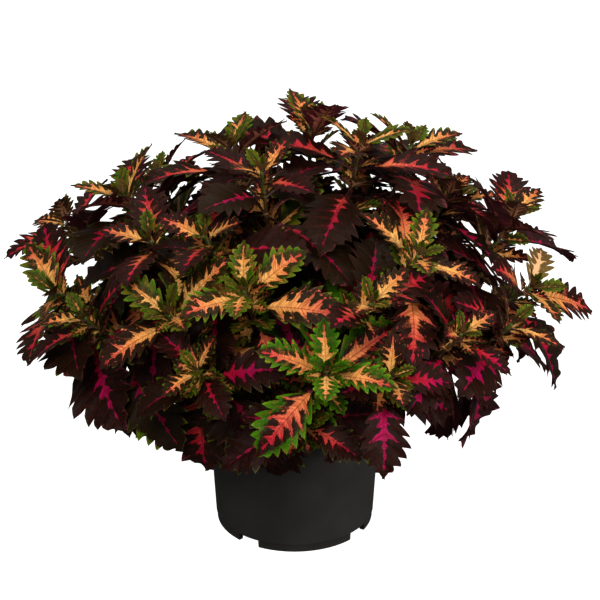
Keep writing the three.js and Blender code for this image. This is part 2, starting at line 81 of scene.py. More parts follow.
@dataclass(frozen=True)
class Crown:
    """The tip of one stem.

    Attributes:
        at: Where the tip is.
        turns: The direction of each pair of leaves about the stem, in degrees.
        turn: The direction of the youngest pair alone, where turns is left out.
        size: The size of its leaves as a share of the usual.
        open: How far its leaves stand off the stem, as a share of the usual.
        lean: The tilt of the tip in degrees, where it isn't the mound's own.
        face: The compass direction of the tip in degrees, where it isn't outwards.
        foot_turn: How far the foot is moved round the pot, in degrees.
        glow: How bright its leaves are: 0, dark; 1, splashed with orange; 2, down to the oldest.
        lime: How much green its leaves keep, from 0 to 1.
        blush: How wide and how pink the splashes of its old leaves are, from 0 to 1.
    """

    at: tuple[float, float, float]
    turns: Optional[tuple[float, ...]] = None
    turn: float = 0.0
    size: float = 1.0
    open: float = 1.0
    lean: Optional[float] = None
    face: Optional[float] = None
    foot_turn: float = 0.0
    glow: float = 0.4
    lime: float = 0.4
    blush: float = 0.5

    def pair_turn(self, level: int) -> float:
        """The direction of a pair of leaves about its stem, in degrees."""
        return self.turns[level] if self.turns else self.turn + 90 * level


CROWNS = (
    Crown((-98, -122, 249), (-80, 12, -60, 50, -174, 90), glow=2, lime=0.4, size=1.2),
    Crown((-39, -131, 274), (-10, -98, -46, 0, 74, 160), glow=1.5, lime=0.7),
    Crown((25, -171, 225), (10, -84, 20, -36, 92, 45), glow=1.05, lime=1),
    Crown((98, -84, 283), (50, -38, 66, 120, -132, 141), glow=1.3, lime=0.4, blush=0.7),
    Crown((14, 62, 334), (110, 40, 60, 0, 147, 60), open=0.85, size=1.2, glow=0.75, lime=0.6),
    Crown((-52, 50, 320), (20, -20, 80, 30, 102, 78), open=0.85, size=1.1, glow=0.9, lime=0.7, blush=0.3),
    Crown((97, 55, 320), (60, 110, 95, 10, 100, 30), size=1.2, glow=0.75, lime=0.45),
    Crown(
        (-142, 32, 284), (20, 70, 5, 5, 125, 60),
        lean=26, open=0.85, size=1.25, glow=0.5, lime=0.6, blush=0.35,
    ),
    Crown((-198, -2, 211), (0, -150, -140, -10, 10, -60), face=-150, lean=45, size=1.35, lime=0.55),
    Crown(
        (129, 21, 292), (-60, 33, -30, 100, 20, -60),
        lean=28, foot_turn=-10, glow=0.35, lime=0.2, blush=0.9,
    ),
    Crown(
        (182, 29, 266), (-60, 30, -6, 58, -100, 0),
        lean=26, foot_turn=12, open=0.85, size=1.15, lime=0.1, blush=0.8,
    ),
    Crown(
        (196, -4, 217), (45, -45, 30, 80, 20, 84),
        face=-30, lean=46, size=1.22, glow=0.7, lime=0.4, blush=1,
    ),
    Crown((60, -128, 262), (70, -20, 160, 125, 45, -40), glow=0.3, lime=0.3, blush=0.6),
    Crown((132, -112, 228), (90, 0, 81, -15, 20, -20), lean=30, size=0.9, glow=0.1, lime=0.1, blush=1),
    Crown((-115, -56, 283), turn=40, size=1.1, glow=0.2, blush=0.15),
    Crown((-26, -40, 336), turn=10, glow=0.15, blush=0.3),
    Crown((-76, -148, 214), (30, 120, 210, 150, 30, 120), size=0.9, glow=0.1, lime=0.6),
    Crown((76, -152, 210), turn=10, size=0.95, glow=0.2, lime=0.3, blush=0.8),
    Crown(
        (-168, -76, 224), (20, -60, 111, -20, 25, -50),
        lean=40, size=1.05, glow=0.1, lime=0.7, blush=0.35,
    ),
    Crown((176, -66, 214), (0, 90, 50, 25, 80, 60), lean=38, glow=0.35, size=1.12, lime=0.2, blush=1),
    Crown((-118, 108, 272), (0, 60, 180, 270, 360, 450), size=1.1, lime=0.7),
    Crown((-35, 146, 268), turn=50, size=1.1),
    Crown((62, 144, 270), turn=20, size=1.1),
    Crown((140, 82, 262), (70, 100, 250, 340, 430, 520), size=1.1, blush=0.8),
    Crown((-196, 80, 240), (30, 120, 15, 300, 30, 120), size=1.1),
    Crown((-96, 156, 200), turn=80, size=1.1),
    Crown((30, 171, 200), turn=10, size=1.1),
    Crown((135, 132, 196), turn=50, blush=1),
    Crown((54, 8, 342), turn=20, size=1.1, glow=1.0),
    Crown((6, -156, 172), (20, 110, 200, 350, 380, 470), size=0.9, glow=0.2, lime=0.6),
    Crown((-70, -85, 300), turn=65, glow=0.1, blush=0.15),
)


@dataclass(frozen=True)
class Pair:
    """One pair of leaves, as every stem has it.

    Attributes:
        below: How far below the tip of the stem it is.
        petiole: The length of the petioles.
        blade: The length of the blades.
        pitch: The angle between leaf and stem, in degrees.
        bend: How far a blade is bent back over its length, in degrees.
        sag: How far the leaves hang.
    """

    below: float
    petiole: float
    blade: float
    pitch: float
    bend: float
    sag: float


PAIRS = (
    Pair(1.4, 5, 19, 38, 14, 0),
    Pair(5, 6, 35, 48, 22, 0.02),
    Pair(12, 10, 51, 60, 30, 0.05),
    Pair(25, 15, 66, 74, 36, 0.1),
    Pair(43, 20, 77, 86, 40, 0.18),
    Pair(66, 22, 78, 97, 42, 0.26),
)
SEED = 1000
UP = np.array((0.0, 0.0, 1.0))


@dataclass(frozen=True)
class PotSizes:
    """The nursery pot's and the peat's sizes."""

    foot_radius: float = 67
    wall_top_radius: float = 74.7
    height: float = 138
    rim_radius: float = 80
    rim_drop: float = 9
    rim_round: float = 1.2
    rim_filled: float = 2
    wall: float = 1.6
    foot_height: float = 7.2
    foot_width: float = 5
    foot_draft: float = 0.6
    step_out: float = 0.5
    floor: float = 2.4
    notches: int = 4
    notch_angle: float = 17.5
    notch_turn: float = 36
    notch_height: float = 6.8
    drain_holes: int = 4
    drain_radius: float = 5
    drain_circle: float = 46
    peat_middle: float = 125
    peat_edge: float = 121.5

    def wall_at(self, height: float) -> float:
        """The outside radius of the wall at a height."""
        share = height / (self.height - self.rim_drop)
        return self.foot_radius + (self.wall_top_radius - self.foot_radius) * share

    def peat_height(self, radius: float) -> float:
        """The height of the peat at a distance from the middle of the pot."""
        share = min(max(radius / self.wall_top_radius, 0), 1)
        return self.peat_middle + (self.peat_edge - self.peat_middle) * share


POT = PotSizes()


# ---------------------------------------------------------------- small helpers


class Draws:
    """Draws from 0 to 1 that are the same on every run."""

    stride = 0x6D2B79F5

    def __init__(self, seed: int) -> None:
        """Starts the row of draws from a whole number."""
        self.state = seed & WORD

    def next(self) -> float:
        """The next draw.

        Returns:
            A number from 0 up to 1.
        """
        self.state = (self.state + self.stride) & WORD
        state = self.state
        mixed = ((state ^ (state >> 15)) * (state | 1)) & WORD
        mixed ^= (mixed + (((mixed ^ (mixed >> 7)) * (mixed | 61)) & WORD)) & WORD
        return ((mixed ^ (mixed >> 14)) & WORD) / (WORD + 1)

    def spread(self, width: float) -> float:
        """A draw from minus half a width to half of it."""
        return width * (self.next() - 0.5)


def unit(vector: Array) -> Array:
    """The vector at length 1."""
    return vector / np.linalg.norm(vector)


def turned(vector: Array, axis: Array, angle: float) -> Array:
    """A vector turned about a unit axis.

    Args:
        vector: The vector.
        axis: The axis, of length 1.
        angle: The angle in radians.

    Returns:
        The turned vector.
    """
    cosine, sine = math.cos(angle), math.sin(angle)
    return vector * cosine + np.cross(axis, vector) * sine + axis * np.dot(axis, vector) * (1 - cosine)


def paint(code: str) -> Paint:
    """The linear colour of a hex code.

    Args:
        code: The code, such as 4d8a14.

    Returns:
        Red, green, blue and 1.
    """
    parts = [int(code[i : i + 2], 16) / 255 for i in (0, 2, 4)]
    linear = [p / 12.92 if p <= 0.04045 else ((p + 0.055) / 1.055) ** 2.4 for p in parts]
    return (linear[0], linear[1], linear[2], 1.0)


class Coat(IntEnum):
    """The materials of a leafy stem, in the order of its mesh's slots."""

    UPPER = 0
    UNDER = 1
    STEM = 2


class MeshMaker:
    """Collects grids of points and makes one mesh of them, with its leaf coordinates."""

    def __init__(self, name: str) -> None:
        """Starts an empty mesh.

        Args:
            name: The name of the object to be made.
        """
        self.name = name
        self.points: list[Array] = []
        self.quads: list[Array] = []
        self.coats: list[Array] = []
        self.marks: list[Array] = []
        self.count = 0

    def grid(
        self, points: Array, coat: int = 0, wrap: bool = False, flip: bool = False, **marks: object
    ) -> None:
        """Adds a grid of quads.

        Args:
            points: rows x columns x 3.
            coat: The material slot.
            wrap: Whether the last column joins the first.
            flip: Whether the faces look the other way.
            **marks: Any of COLUMNS, each a number or what spreads to rows x columns. The rest are 0.
        """
        rows, columns = points.shape[:2]
        numbers = self.count + np.arange(rows * columns).reshape(rows, columns)
        if wrap:
            numbers = np.concatenate((numbers, numbers[:, :1]), axis=1)
        corners = (numbers[:-1, :-1], numbers[:-1, 1:], numbers[1:, 1:], numbers[1:, :-1])
        quads = np.stack(corners[::-1] if flip else corners, axis=-1).reshape(-1, 4)
        self.points.append(points.reshape(-1, 3))
        spread = [np.broadcast_to(marks.get(word, 0), (rows, columns)) for word in COLUMNS]
        self.marks.append(np.stack(spread, axis=-1).reshape(-1, len(COLUMNS)))
        self.quads.append(quads)
        self.coats.append(np.full(len(quads), coat))
        self.count += rows * columns

    def build(self, materials: Sequence[bpy.types.Material], slot: str, *nodes: str) -> bpy.types.Object:
        """Makes the object, which replaces its nodes and rides on the part's one body.

        Args:
            materials: The materials of its slots.
            slot: The record's material slot; not used.
            *nodes: The solids that it stands for.

        Returns:
            The new object.
        """
        points = np.concatenate(self.points) * MM
        quads = np.concatenate(self.quads)
        mesh = bpy.data.meshes.new(self.name)
        mesh.vertices.add(len(points))
        mesh.vertices.foreach_set("co", points.astype(np.float32).ravel())
        mesh.loops.add(quads.size)
        mesh.loops.foreach_set("vertex_index", quads.astype(np.int32).ravel())
        mesh.polygons.add(len(quads))
        mesh.polygons.foreach_set("loop_start", np.arange(0, quads.size, 4, dtype=np.int32))
        mesh.polygons.foreach_set("material_index", np.concatenate(self.coats).astype(np.int32))
        mesh.polygons.foreach_set("use_smooth", np.ones(len(quads), bool))
        marks = np.concatenate(self.marks).astype(np.float32)
        sheet = mesh.uv_layers.new(name="leaf")
        sheet.data.foreach_set("uv", marks[quads.ravel(), :2].ravel())
        for column, word in enumerate(MARKS, start=2):
            mark = mesh.attributes.new(word, "FLOAT", "POINT")
            mark.data.foreach_set("value", np.ascontiguousarray(marks[:, column]))
        mesh.update(calc_edges=True)
        mesh.validate()
        for material in materials:
            mesh.materials.append(material)
        made = bpy.data.objects.new(self.name, mesh)
        bpy.context.scene.collection.objects.link(made)
        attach(made, "root")
        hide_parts(*nodes)
        return made


# ---------------------------------------------------------------- how the plant grows


@dataclass
class StemLine:
    """The middle line of a stem from the peat to its crown, and the frame its leaves turn in."""

    crown: Crown
    steps: int = 80
    root_half: float = 2.5
    tip_half: float = 1.2
    taper: float = 120
    hole_circle: float = 57
    rise: float = 58
    follow: float = 0.42
    foot_spread: float = 0.8
    mound_middle: float = 150
    mound_radius: float = 185
    mound_height: float = 185
    uprightness: float = 0.38
    side: Array = field(init=False)
    foot: Array = field(init=False)
    points: Array = field(init=False)
    depths: Array = field(init=False)

    def __post_init__(self) -> None:
        """Lays the line out."""
        x, y, z = self.crown.at
        tip = np.array((x, y, z), float)
        around = math.atan2(y, x)
        facing = around if self.crown.face is None else math.radians(self.crown.face)
        above = max(z - self.mound_middle, 0) / self.mound_height
        steepness = math.atan2(math.hypot(x, y) / self.mound_radius, above)
        tilt = steepness * (1 - self.uprightness)
        if self.crown.lean is not None:
            tilt = math.radians(self.crown.lean)
        level = np.array((math.cos(facing), math.sin(facing), 0.0))
        axis = level * math.sin(tilt) + UP * math.cos(tilt)
        self.side = np.array((-math.sin(facing), math.cos(facing), 0.0))
        radius = self.hole_circle * (steepness / (math.pi / 2)) ** self.foot_spread
        foot_around = around + math.radians(self.crown.foot_turn)
        height = POT.peat_height(radius)
        self.foot = np.array((radius * math.cos(foot_around), radius * math.sin(foot_around), height))
        span = np.linalg.norm(tip - self.foot)
        held = (self.foot, self.foot + UP * self.rise, tip - axis * self.follow * span, tip)
        t = np.linspace(1, 0, self.steps + 1)[:, None]
        weights = ((1 - t) ** 3, 3 * (1 - t) ** 2 * t, 3 * (1 - t) * t**2, t**3)
        self.points = sum(weight * point for weight, point in zip(weights, held))
        gaps = np.linalg.norm(np.diff(self.points, axis=0), axis=1)
        self.depths = np.concatenate(((0,), np.cumsum(gaps)))

    def at(self, below: float) -> tuple[Array, Array, Array, Array]:
        """The line at a distance below the crown.

        Args:
            below: The distance along the line.

        Returns:
            The point, and the directions along the stem, to its side and square to both.
        """
        step = int(np.clip(np.searchsorted(self.depths, below) - 1, 0, self.steps - 1))
        upper, lower = self.points[step], self.points[step + 1]
        share = min((below - self.depths[step]) / (self.depths[step + 1] - self.depths[step]), 1)
        along = unit(upper - lower)
        across = unit(self.side - along * np.dot(self.side, along))
        return upper + (lower - upper) * share, along, across, np.cross(across, along)

    def half(self, below: float) -> float:
        """Half the width across the square stem at a distance below the crown."""
        return self.tip_half + (self.root_half - self.tip_half) * min(below / self.taper, 1)

    def facings(self) -> list[float]:
        """The direction that the stem's sides face at each pair, turned as little as can be.

        Returns:
            The directions in degrees, the youngest pair first.
        """
        last = self.crown.pair_turn(len(PAIRS) - 1)
        found = []
        for level in reversed(range(len(PAIRS))):
            own = self.crown.pair_turn(level)
            last = own + 90 * math.floor((last - own) / 90 + 0.5)
            found.append(last)
        return found[::-1]


@dataclass
class Hold:
    """Where a leaf starts, how it is held, and how large it is.

    Attributes:
        root: The point where its petiole starts.
        ahead: The direction in which it sets out.
        face: The direction that its upper face looks in there.
        petiole: The length of its petiole.
        length: The length of its blade.
        bend: How far the blade is bent back over its length, in radians.
        half_width: The greatest half width as a share of the length.
        base_taper: How quickly the blade widens.
        tip_taper: How slowly it narrows to the tip.
        fold: The angle between each half of the blade and its flat, in radians.
        sweep: How far the side veins run forwards for each millimetre outwards.
    """

    root: Array
    ahead: Array
    face: Array
    petiole: float
    length: float
    bend: float
    half_width: float = 0.33
    base_taper: float = 0.6
    tip_taper: float = 1.15
    fold: float = math.radians(14)
    sweep: float = 0.62

    def outline(self, u: Array) -> Array:
        """The half width along the blade.

        Args:
            u: Shares of the blade's length.

        Returns:
            The half widths as shares of the widest.
        """
        widest = self.base_taper / (self.base_taper + self.tip_taper)
        most = widest**self.base_taper * (1 - widest) ** self.tip_taper
        return np.power(u, self.base_taper) * np.power(1 - u, self.tip_taper) / most

    def surface(self, u: Array, v: Array, least: float = 0.0, twist: float = 0.0) -> tuple[Array, Array]:
        """Points of the blade.

        Args:
            u: Shares of the blade's length along its midrib.
            v: Shares of its half width, from -1 to 1, along the side veins.
            least: The least half width.
            twist: How far the tip is turned about the midrib, in radians.

        Returns:
            The points, and the directions square to the blade there.
        """
        u, v = np.broadcast_arrays(np.asarray(u, float), np.asarray(v, float))
        angle = (self.bend * u)[..., None]
        level = np.cross(self.face, self.ahead)
        tangent = self.ahead * np.cos(angle) - self.face * np.sin(angle)
        square = self.face * np.cos(angle) + self.ahead * np.sin(angle)
        roll = (twist * u)[..., None]
        across = level * np.cos(roll) + square * np.sin(roll)
        normal = square * np.cos(roll) - level * np.sin(roll)
        half = np.maximum(self.half_width * self.length * self.outline(u), least)[..., None]
        out = half * np.abs(v)[..., None]
        midrib = (
            self.root
            + self.ahead * self.petiole
            + self.ahead * (self.length * np.sin(angle) / self.bend)
            - self.face * (self.length * (1 - np.cos(angle)) / self.bend)
        )
        point = (
            midrib
            + across * np.sign(v)[..., None] * out * math.cos(self.fold)
            + normal * out * math.sin(self.fold)
            + tangent * out * self.sweep
        )
        return point, normal

    def tip(self) -> Array:
        """The very tip of the blade."""
        return self.surface(np.array(1.0), np.array(1.0))[0]


class Grower:
    """Follows the rule that placed the leaves of the solids, and finds each leaf again."""

    sizes = (1, 0.88, 0.76, 0.62)
    holds = (
        (0, 0), (9, 0), (-9, 0), (0, 12), (0, -12), (9, 12), (9, -12), (-9, 12), (-9, -12),
        (18, 0), (-18, 0), (0, 24), (0, -24), (18, 18), (18, -18), (-18, 18), (-18, -18),
        (28, 0), (-28, 0),
    )
    rolls = (0, 16, -16)
    least_pitch = 35.0
    skyward = 0.5
    spread_turn = 16
    spread_pitch = 10
    spread_roll = 24
    spread_size = 0.12
    near = 0.05 * MM

    def __init__(self, number: int, crown: Crown) -> None:
        """Prepares one stem.

        Args:
            number: The stem's place in the row of crowns, from 0.
            crown: Its crown.
        """
        self.crown = crown
        self.line = StemLine(crown)
        self.draws = Draws(SEED + number)
        self.node = f"leafy_stem_{number + 1:02d}"
        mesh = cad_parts[self.node].data
        self.corners = KDTree(len(mesh.vertices))
        for i, vertex in enumerate(mesh.vertices):
            self.corners.insert(vertex.co, i)
        self.corners.balance()

    def changes(self) -> Iterator[tuple[float, float, float, float]]:
        """The ways in which a leaf may be held differently, in the order in which they are tried.

        Yields:
            The size as a share, and the changes of pitch, turn and roll in degrees.
        """
        for size in self.sizes:
            for pitch, turn in self.holds:
                for roll in self.rolls:
                    yield size, pitch, turn, roll

    def leaves(self) -> Iterator[tuple[int, Hold, float]]:
        """Every leaf that the solid has.

        Yields:
            The leaf's level from the youngest, how it is held, and its direction about the stem.
        """
        for level, pair in enumerate(PAIRS):
            for half in (0, 180):
                scale = self.crown.size * (1 + self.draws.spread(self.spread_size))
                turn = self.crown.pair_turn(level) + half
                own_turn = turn + self.draws.spread(self.spread_turn)
                pitch = pair.pitch * self.crown.open + self.draws.spread(self.spread_pitch)
                roll = self.draws.spread(self.spread_roll)
                found = self.find(pair, scale, own_turn, max(pitch, self.least_pitch), roll)
                if found:
                    yield level, found, turn

    def find(self, pair: Pair, scale: float, turn: float, pitch: float, roll: float) -> Optional[Hold]:
        """The hold whose tip is a corner of the solid.

        Args:
            pair: The leaf's pair.
            scale: Its size as a share of the pair's.
            turn: Its direction about the stem, in degrees.
            pitch: Its angle off the stem, in degrees.
            roll: Its turn about its own midrib, in degrees.

        Returns:
            The hold, or None where the solid has no such leaf.
        """
        place = self.line.at(pair.below)
        for size, more_pitch, more_turn, more_roll in self.changes():
            angles = (turn + more_turn, pitch + more_pitch, roll + more_roll)
            hold = self.hold(place, pair, scale * size, *angles)
            if self.corners.find(Vector(hold.tip() * MM))[2] < self.near:
                return hold
        return None

    def hold(
        self, place: tuple[Array, ...], pair: Pair, scale: float, turn: float, pitch: float, roll: float
    ) -> Hold:
        """A leaf held at the given angles.

        Args:
            place: The point and directions of the stem there.
            pair: The leaf's pair.
            scale: Its size as a share of the pair's.
            turn: Its direction about the stem, in degrees.
            pitch: Its angle off the stem, in degrees.
            roll: Its turn about its own midrib, in degrees.

        Returns:
            The hold.
        """
        point, along, across, front = place
        around, off = math.radians(turn), math.radians(pitch)
        out = across * math.cos(around) + front * math.sin(around)
        ahead = unit(out * math.sin(off) + along * math.cos(off) - UP * pair.sag)
        face = along + UP * self.skyward
        face = unit(face - ahead * np.dot(face, ahead))
        face = turned(face, ahead, math.radians(roll))
        return Hold(point, ahead, face, pair.petiole * scale, pair.blade * scale, math.radians(pair.bend))


# ---------------------------------------------------------------- leaves and stems


@dataclass(frozen=True)
class Cut:
    """How the blades of an age are cut and shaped.

    Attributes:
        teeth: Teeth on each side.
        depth: Their depth as a share of the half width.
        round: From 0, pointed teeth, to 1, round lobes.
        wave: The height of the margin's waves in millimetres.
        quilt: How far the blade rises between its side veins, in millimetres.
    """

    teeth: int
    depth: float
    round: float
    wave: float
    quilt: float


CUTS = (
    Cut(4, 0.5, 0.9, 0.3, 0.15),
    Cut(5, 0.56, 0.7, 0.7, 0.25),
    Cut(6, 0.52, 0.45, 1.2, 0.4),
    Cut(6, 0.4, 0.2, 1.8, 0.5),
    Cut(7, 0.32, 0.0, 2.3, 0.6),
    Cut(7, 0.29, 0.0, 2.5, 0.6),
)
SHOOT_CUT = Cut(4, 0.54, 0.6, 0.6, 0.2)


@dataclass(frozen=True)
class Fineness:
    """How finely a leaf is divided.

    Attributes:
        neck: Shares of the way to the first tooth.
        tooth: Shares of each tooth.
        tip: Shares of the way from the last tooth to the tip.
        upper: Shares of the half width on the upper face.
        under: Shares of the half width on the under face.
        petiole: How many rings the petiole has.
        midrib: Shares of the blade where the midrib has a ring.
        sides: How many sides the petiole and the midrib have.
    """

    neck: tuple[float, ...]
    tooth: tuple[float, ...]
    tip: tuple[float, ...]
    upper: tuple[float, ...]
    under: tuple[float, ...]
    petiole: int
    midrib: tuple[float, ...]
    sides: int


FINE = Fineness(
    neck=(0.03, 0.2, 0.55),
    tooth=(0, 0.2, 0.44, 0.64, 0.78, 0.92),
    tip=(0, 0.3, 0.6, 0.85, 1.0),
    upper=(0, 0.08, 0.28, 0.52, 0.78, 1.0),
    under=(0, 0.5, 1.0),
    petiole=5,
    midrib=(0.04, 0.18, 0.4, 0.64, 0.84),
    sides=7,
)
COARSE = Fineness(
    neck=(0.05, 0.35),
    tooth=(0, 0.32, 0.64, 0.82),
    tip=(0, 0.5, 1.0),
    upper=(0, 0.3, 0.7, 1.0),
    under=(0, 1.0),
    petiole=3,
    midrib=(0.1, 0.7),
    sides=5,
)


@dataclass
class Leaf:
    """One leaf: a blade with two faces and a toothed margin, its petiole and its midrib.

    Attributes:
        hold: Where it starts and how it is held.
        cut: How its margin is cut.
        age: Its age, from about 0 at the tip of the stem to about 1.
        crown: The tip of its stem.
        chance: Its own draws, DRAWS of them.
        fineness: How finely it is divided.
        curled: Whether its under face shows on both sides.
    """

    hold: Hold
    cut: Cut
    age: float
    crown: Crown
    chance: Array
    fineness: Fineness = FINE
    curled: bool = False
    first_tooth: float = 0.045
    last_tooth: float = 0.9
    tooth_tip: float = 0.64
    neck_vein: float = 0.4
    tip_vein: float = 0.5
    usual_length: float = 70
    slim_length: float = 55
    thick: float = 0.5
    groove_depth: float = 0.28
    groove_width: float = 0.06
    stalk: float = 1.05
    least_stalk: float = 0.12
    most_twist: float = 0.35
    most_bow: float = 0.05

    def __post_init__(self) -> None:
        """Shares the draws out."""
        *self.waves, twist, self.lot, self.bow = self.chance
        self.twist = self.most_twist * (twist - 0.5)

    def rows(self) -> Array:
        """The rows of points along the blade, closest together where its teeth are.

        Returns:
            3 x rows x 1: each row's place along the blade, how far out its margin lies, and its
            place among the side veins, where a whole number is a vein.
        """
        cut, fineness = self.cut, self.fineness
        rows = [(0.0, 1.0, -self.tooth_tip - self.neck_vein)]
        for share in fineness.neck:
            reach = 1 - 0.5 * cut.depth * share**0.5
            rows.append((self.first_tooth * share, reach, -self.tooth_tip - self.neck_vein * (1 - share)))
        step = (self.last_tooth - self.first_tooth) / cut.teeth
        for tooth in range(cut.teeth):
            swell = 0.62 + 0.38 * math.sin(math.pi * (tooth + 0.7) / (cut.teeth + 0.4))
            depth = cut.depth * swell * (0.7 + 0.6 * self.chance[tooth % len(self.chance)])
            for share in fineness.tooth:
                place = self.first_tooth + (tooth + share) * step
                rows.append((place, 1.06 - depth * self.tooth(share), tooth + share - self.tooth_tip))
        for share in fineness.tip:
            place = self.last_tooth + (1 - self.last_tooth) * share
            reach = 1.03 - 0.5 * cut.depth * (1 - share)
            rows.append((place, reach, cut.teeth - self.tooth_tip + share * self.tip_vein))
        return np.array(rows).T[..., None]

    def tooth(self, share: float) -> float:
        """How far the margin lies back from the tooth's tip.

        Args:
            share: The place along the tooth, from 0 to 1.

        Returns:
            0 at the tip and 1 in the cut between two teeth.
        """
        if share <= self.tooth_tip:
            pointed = 1 - (share / self.tooth_tip) ** 0.75
        else:
            pointed = ((share - self.tooth_tip) / (1 - self.tooth_tip)) ** 0.9
        lobed = 1 - math.sin(math.pi * min(max(share * 0.96 + 0.02, 0), 1)) ** 0.7
        return pointed * (1 - self.cut.round) + lobed * self.cut.round

    def relief(self, u: Array, v: Array, vein: Array) -> Array:
        """The height of the blade over its plain form.

        Args:
            u: Shares of the blade's length.
            v: Shares of its half width.
            vein: Places among its side veins.

        Returns:
            The heights in millimetres.
        """
        beat, start, shift, droop, drift = self.waves
        size = self.hold.length / self.usual_length
        edge = np.abs(v)
        near = np.abs(vein - np.round(vein)) * 2
        quilt = self.cut.quilt * size * np.sqrt(near) * np.sin(np.pi * np.clip(edge, 0, 1)) ** 0.6
        phase = 2 * math.pi * (u * (2.2 + 1.4 * beat) + start + 0.5 * (v > 0) * shift)
        wave = self.cut.wave * size * np.sin(phase) * edge**1.6
        curl = -(0.4 + 3.0 * droop) * size * edge**2.4 * self.hold.outline(np.clip(u, 0, 1))
        ripple = 0.3 * self.cut.wave * size * np.sin(2 * math.pi * vein + 6 * drift) * edge**3
        return quilt + wave + curl + ripple

    def add(self, maker: MeshMaker) -> None:
        """Adds the leaf to a mesh.

        Args:
            maker: The mesh.
        """
        u, reach, vein = self.rows()
        for coat, columns in ((Coat.UPPER, self.fineness.upper), (Coat.UNDER, self.fineness.under)):
            shares = np.array([-share for share in columns[:0:-1]] + list(columns))
            edge = np.abs(shares)
            v = shares * reach
            points, normals = self.hold.surface(u, v, least=self.stalk, twist=self.twist)
            body = 0.5 * self.thick * (1 - edge**2)
            groove = self.groove_depth * np.exp(-((shares / self.groove_width) ** 2)) * (1 - u)
            height = self.relief(u, v, vein) + (body - groove if coat is Coat.UPPER else -body)
            maker.grid(
                points + normals * height[..., None],
                Coat.UNDER if self.curled else coat,
                flip=coat is Coat.UNDER,
                u=u,
                v=v / SHEET_WIDTH + 0.5,
                vein=vein,
                age=self.age,
                chance=self.lot,
                lime=self.crown.lime,
                blush=self.crown.blush,
                hem=edge,
            )
        self.add_stalk(maker)

    def add_stalk(self, maker: MeshMaker) -> None:
        """Adds the petiole and, in line with it, the midrib under the blade.

        Args:
            maker: The mesh.
        """
        hold = self.hold
        along = np.linspace(0, 1, self.fineness.petiole)
        along_blade = np.array(self.fineness.midrib)
        petiole = hold.root + hold.ahead * (along[:, None] * hold.petiole)
        bow = np.sin(np.pi * along) * self.most_bow * hold.petiole * (self.bow - 0.2)
        petiole = petiole + hold.face * bow[:, None]
        midrib, normals = hold.surface(along_blade, np.zeros(len(along_blade)), twist=self.twist)
        ups = np.concatenate((np.broadcast_to(hold.face, petiole.shape), normals))
        radii = np.concatenate((self.stalk * (1.25 - 0.25 * along), self.stalk * 0.9 * (1 - along_blade)))
        radii = np.maximum(radii * min(1.0, hold.length / self.slim_length), self.least_stalk)
        sink = np.concatenate((0 * along, 0.75 * radii[len(along) :]))
        centres = np.concatenate((petiole, midrib)) - ups * sink[:, None]
        level = np.cross(hold.face, hold.ahead)
        angles = np.linspace(0, 2 * math.pi, self.fineness.sides, endpoint=False)
        rise = np.sin(angles) * np.where(np.sin(angles) > 0.5, 0.75, 1.0)
        ring = level * np.cos(angles)[:, None] + ups[:, None] * rise[:, None]
        maker.grid(
            centres[:, None] + ring * radii[:, None, None],
            Coat.STEM,
            wrap=True,
            u=np.concatenate((along * 0.4, 0.4 + 0.6 * along_blade))[:, None],
            v=angles / (2 * math.pi),
            age=self.age,
            chance=self.lot,
        )


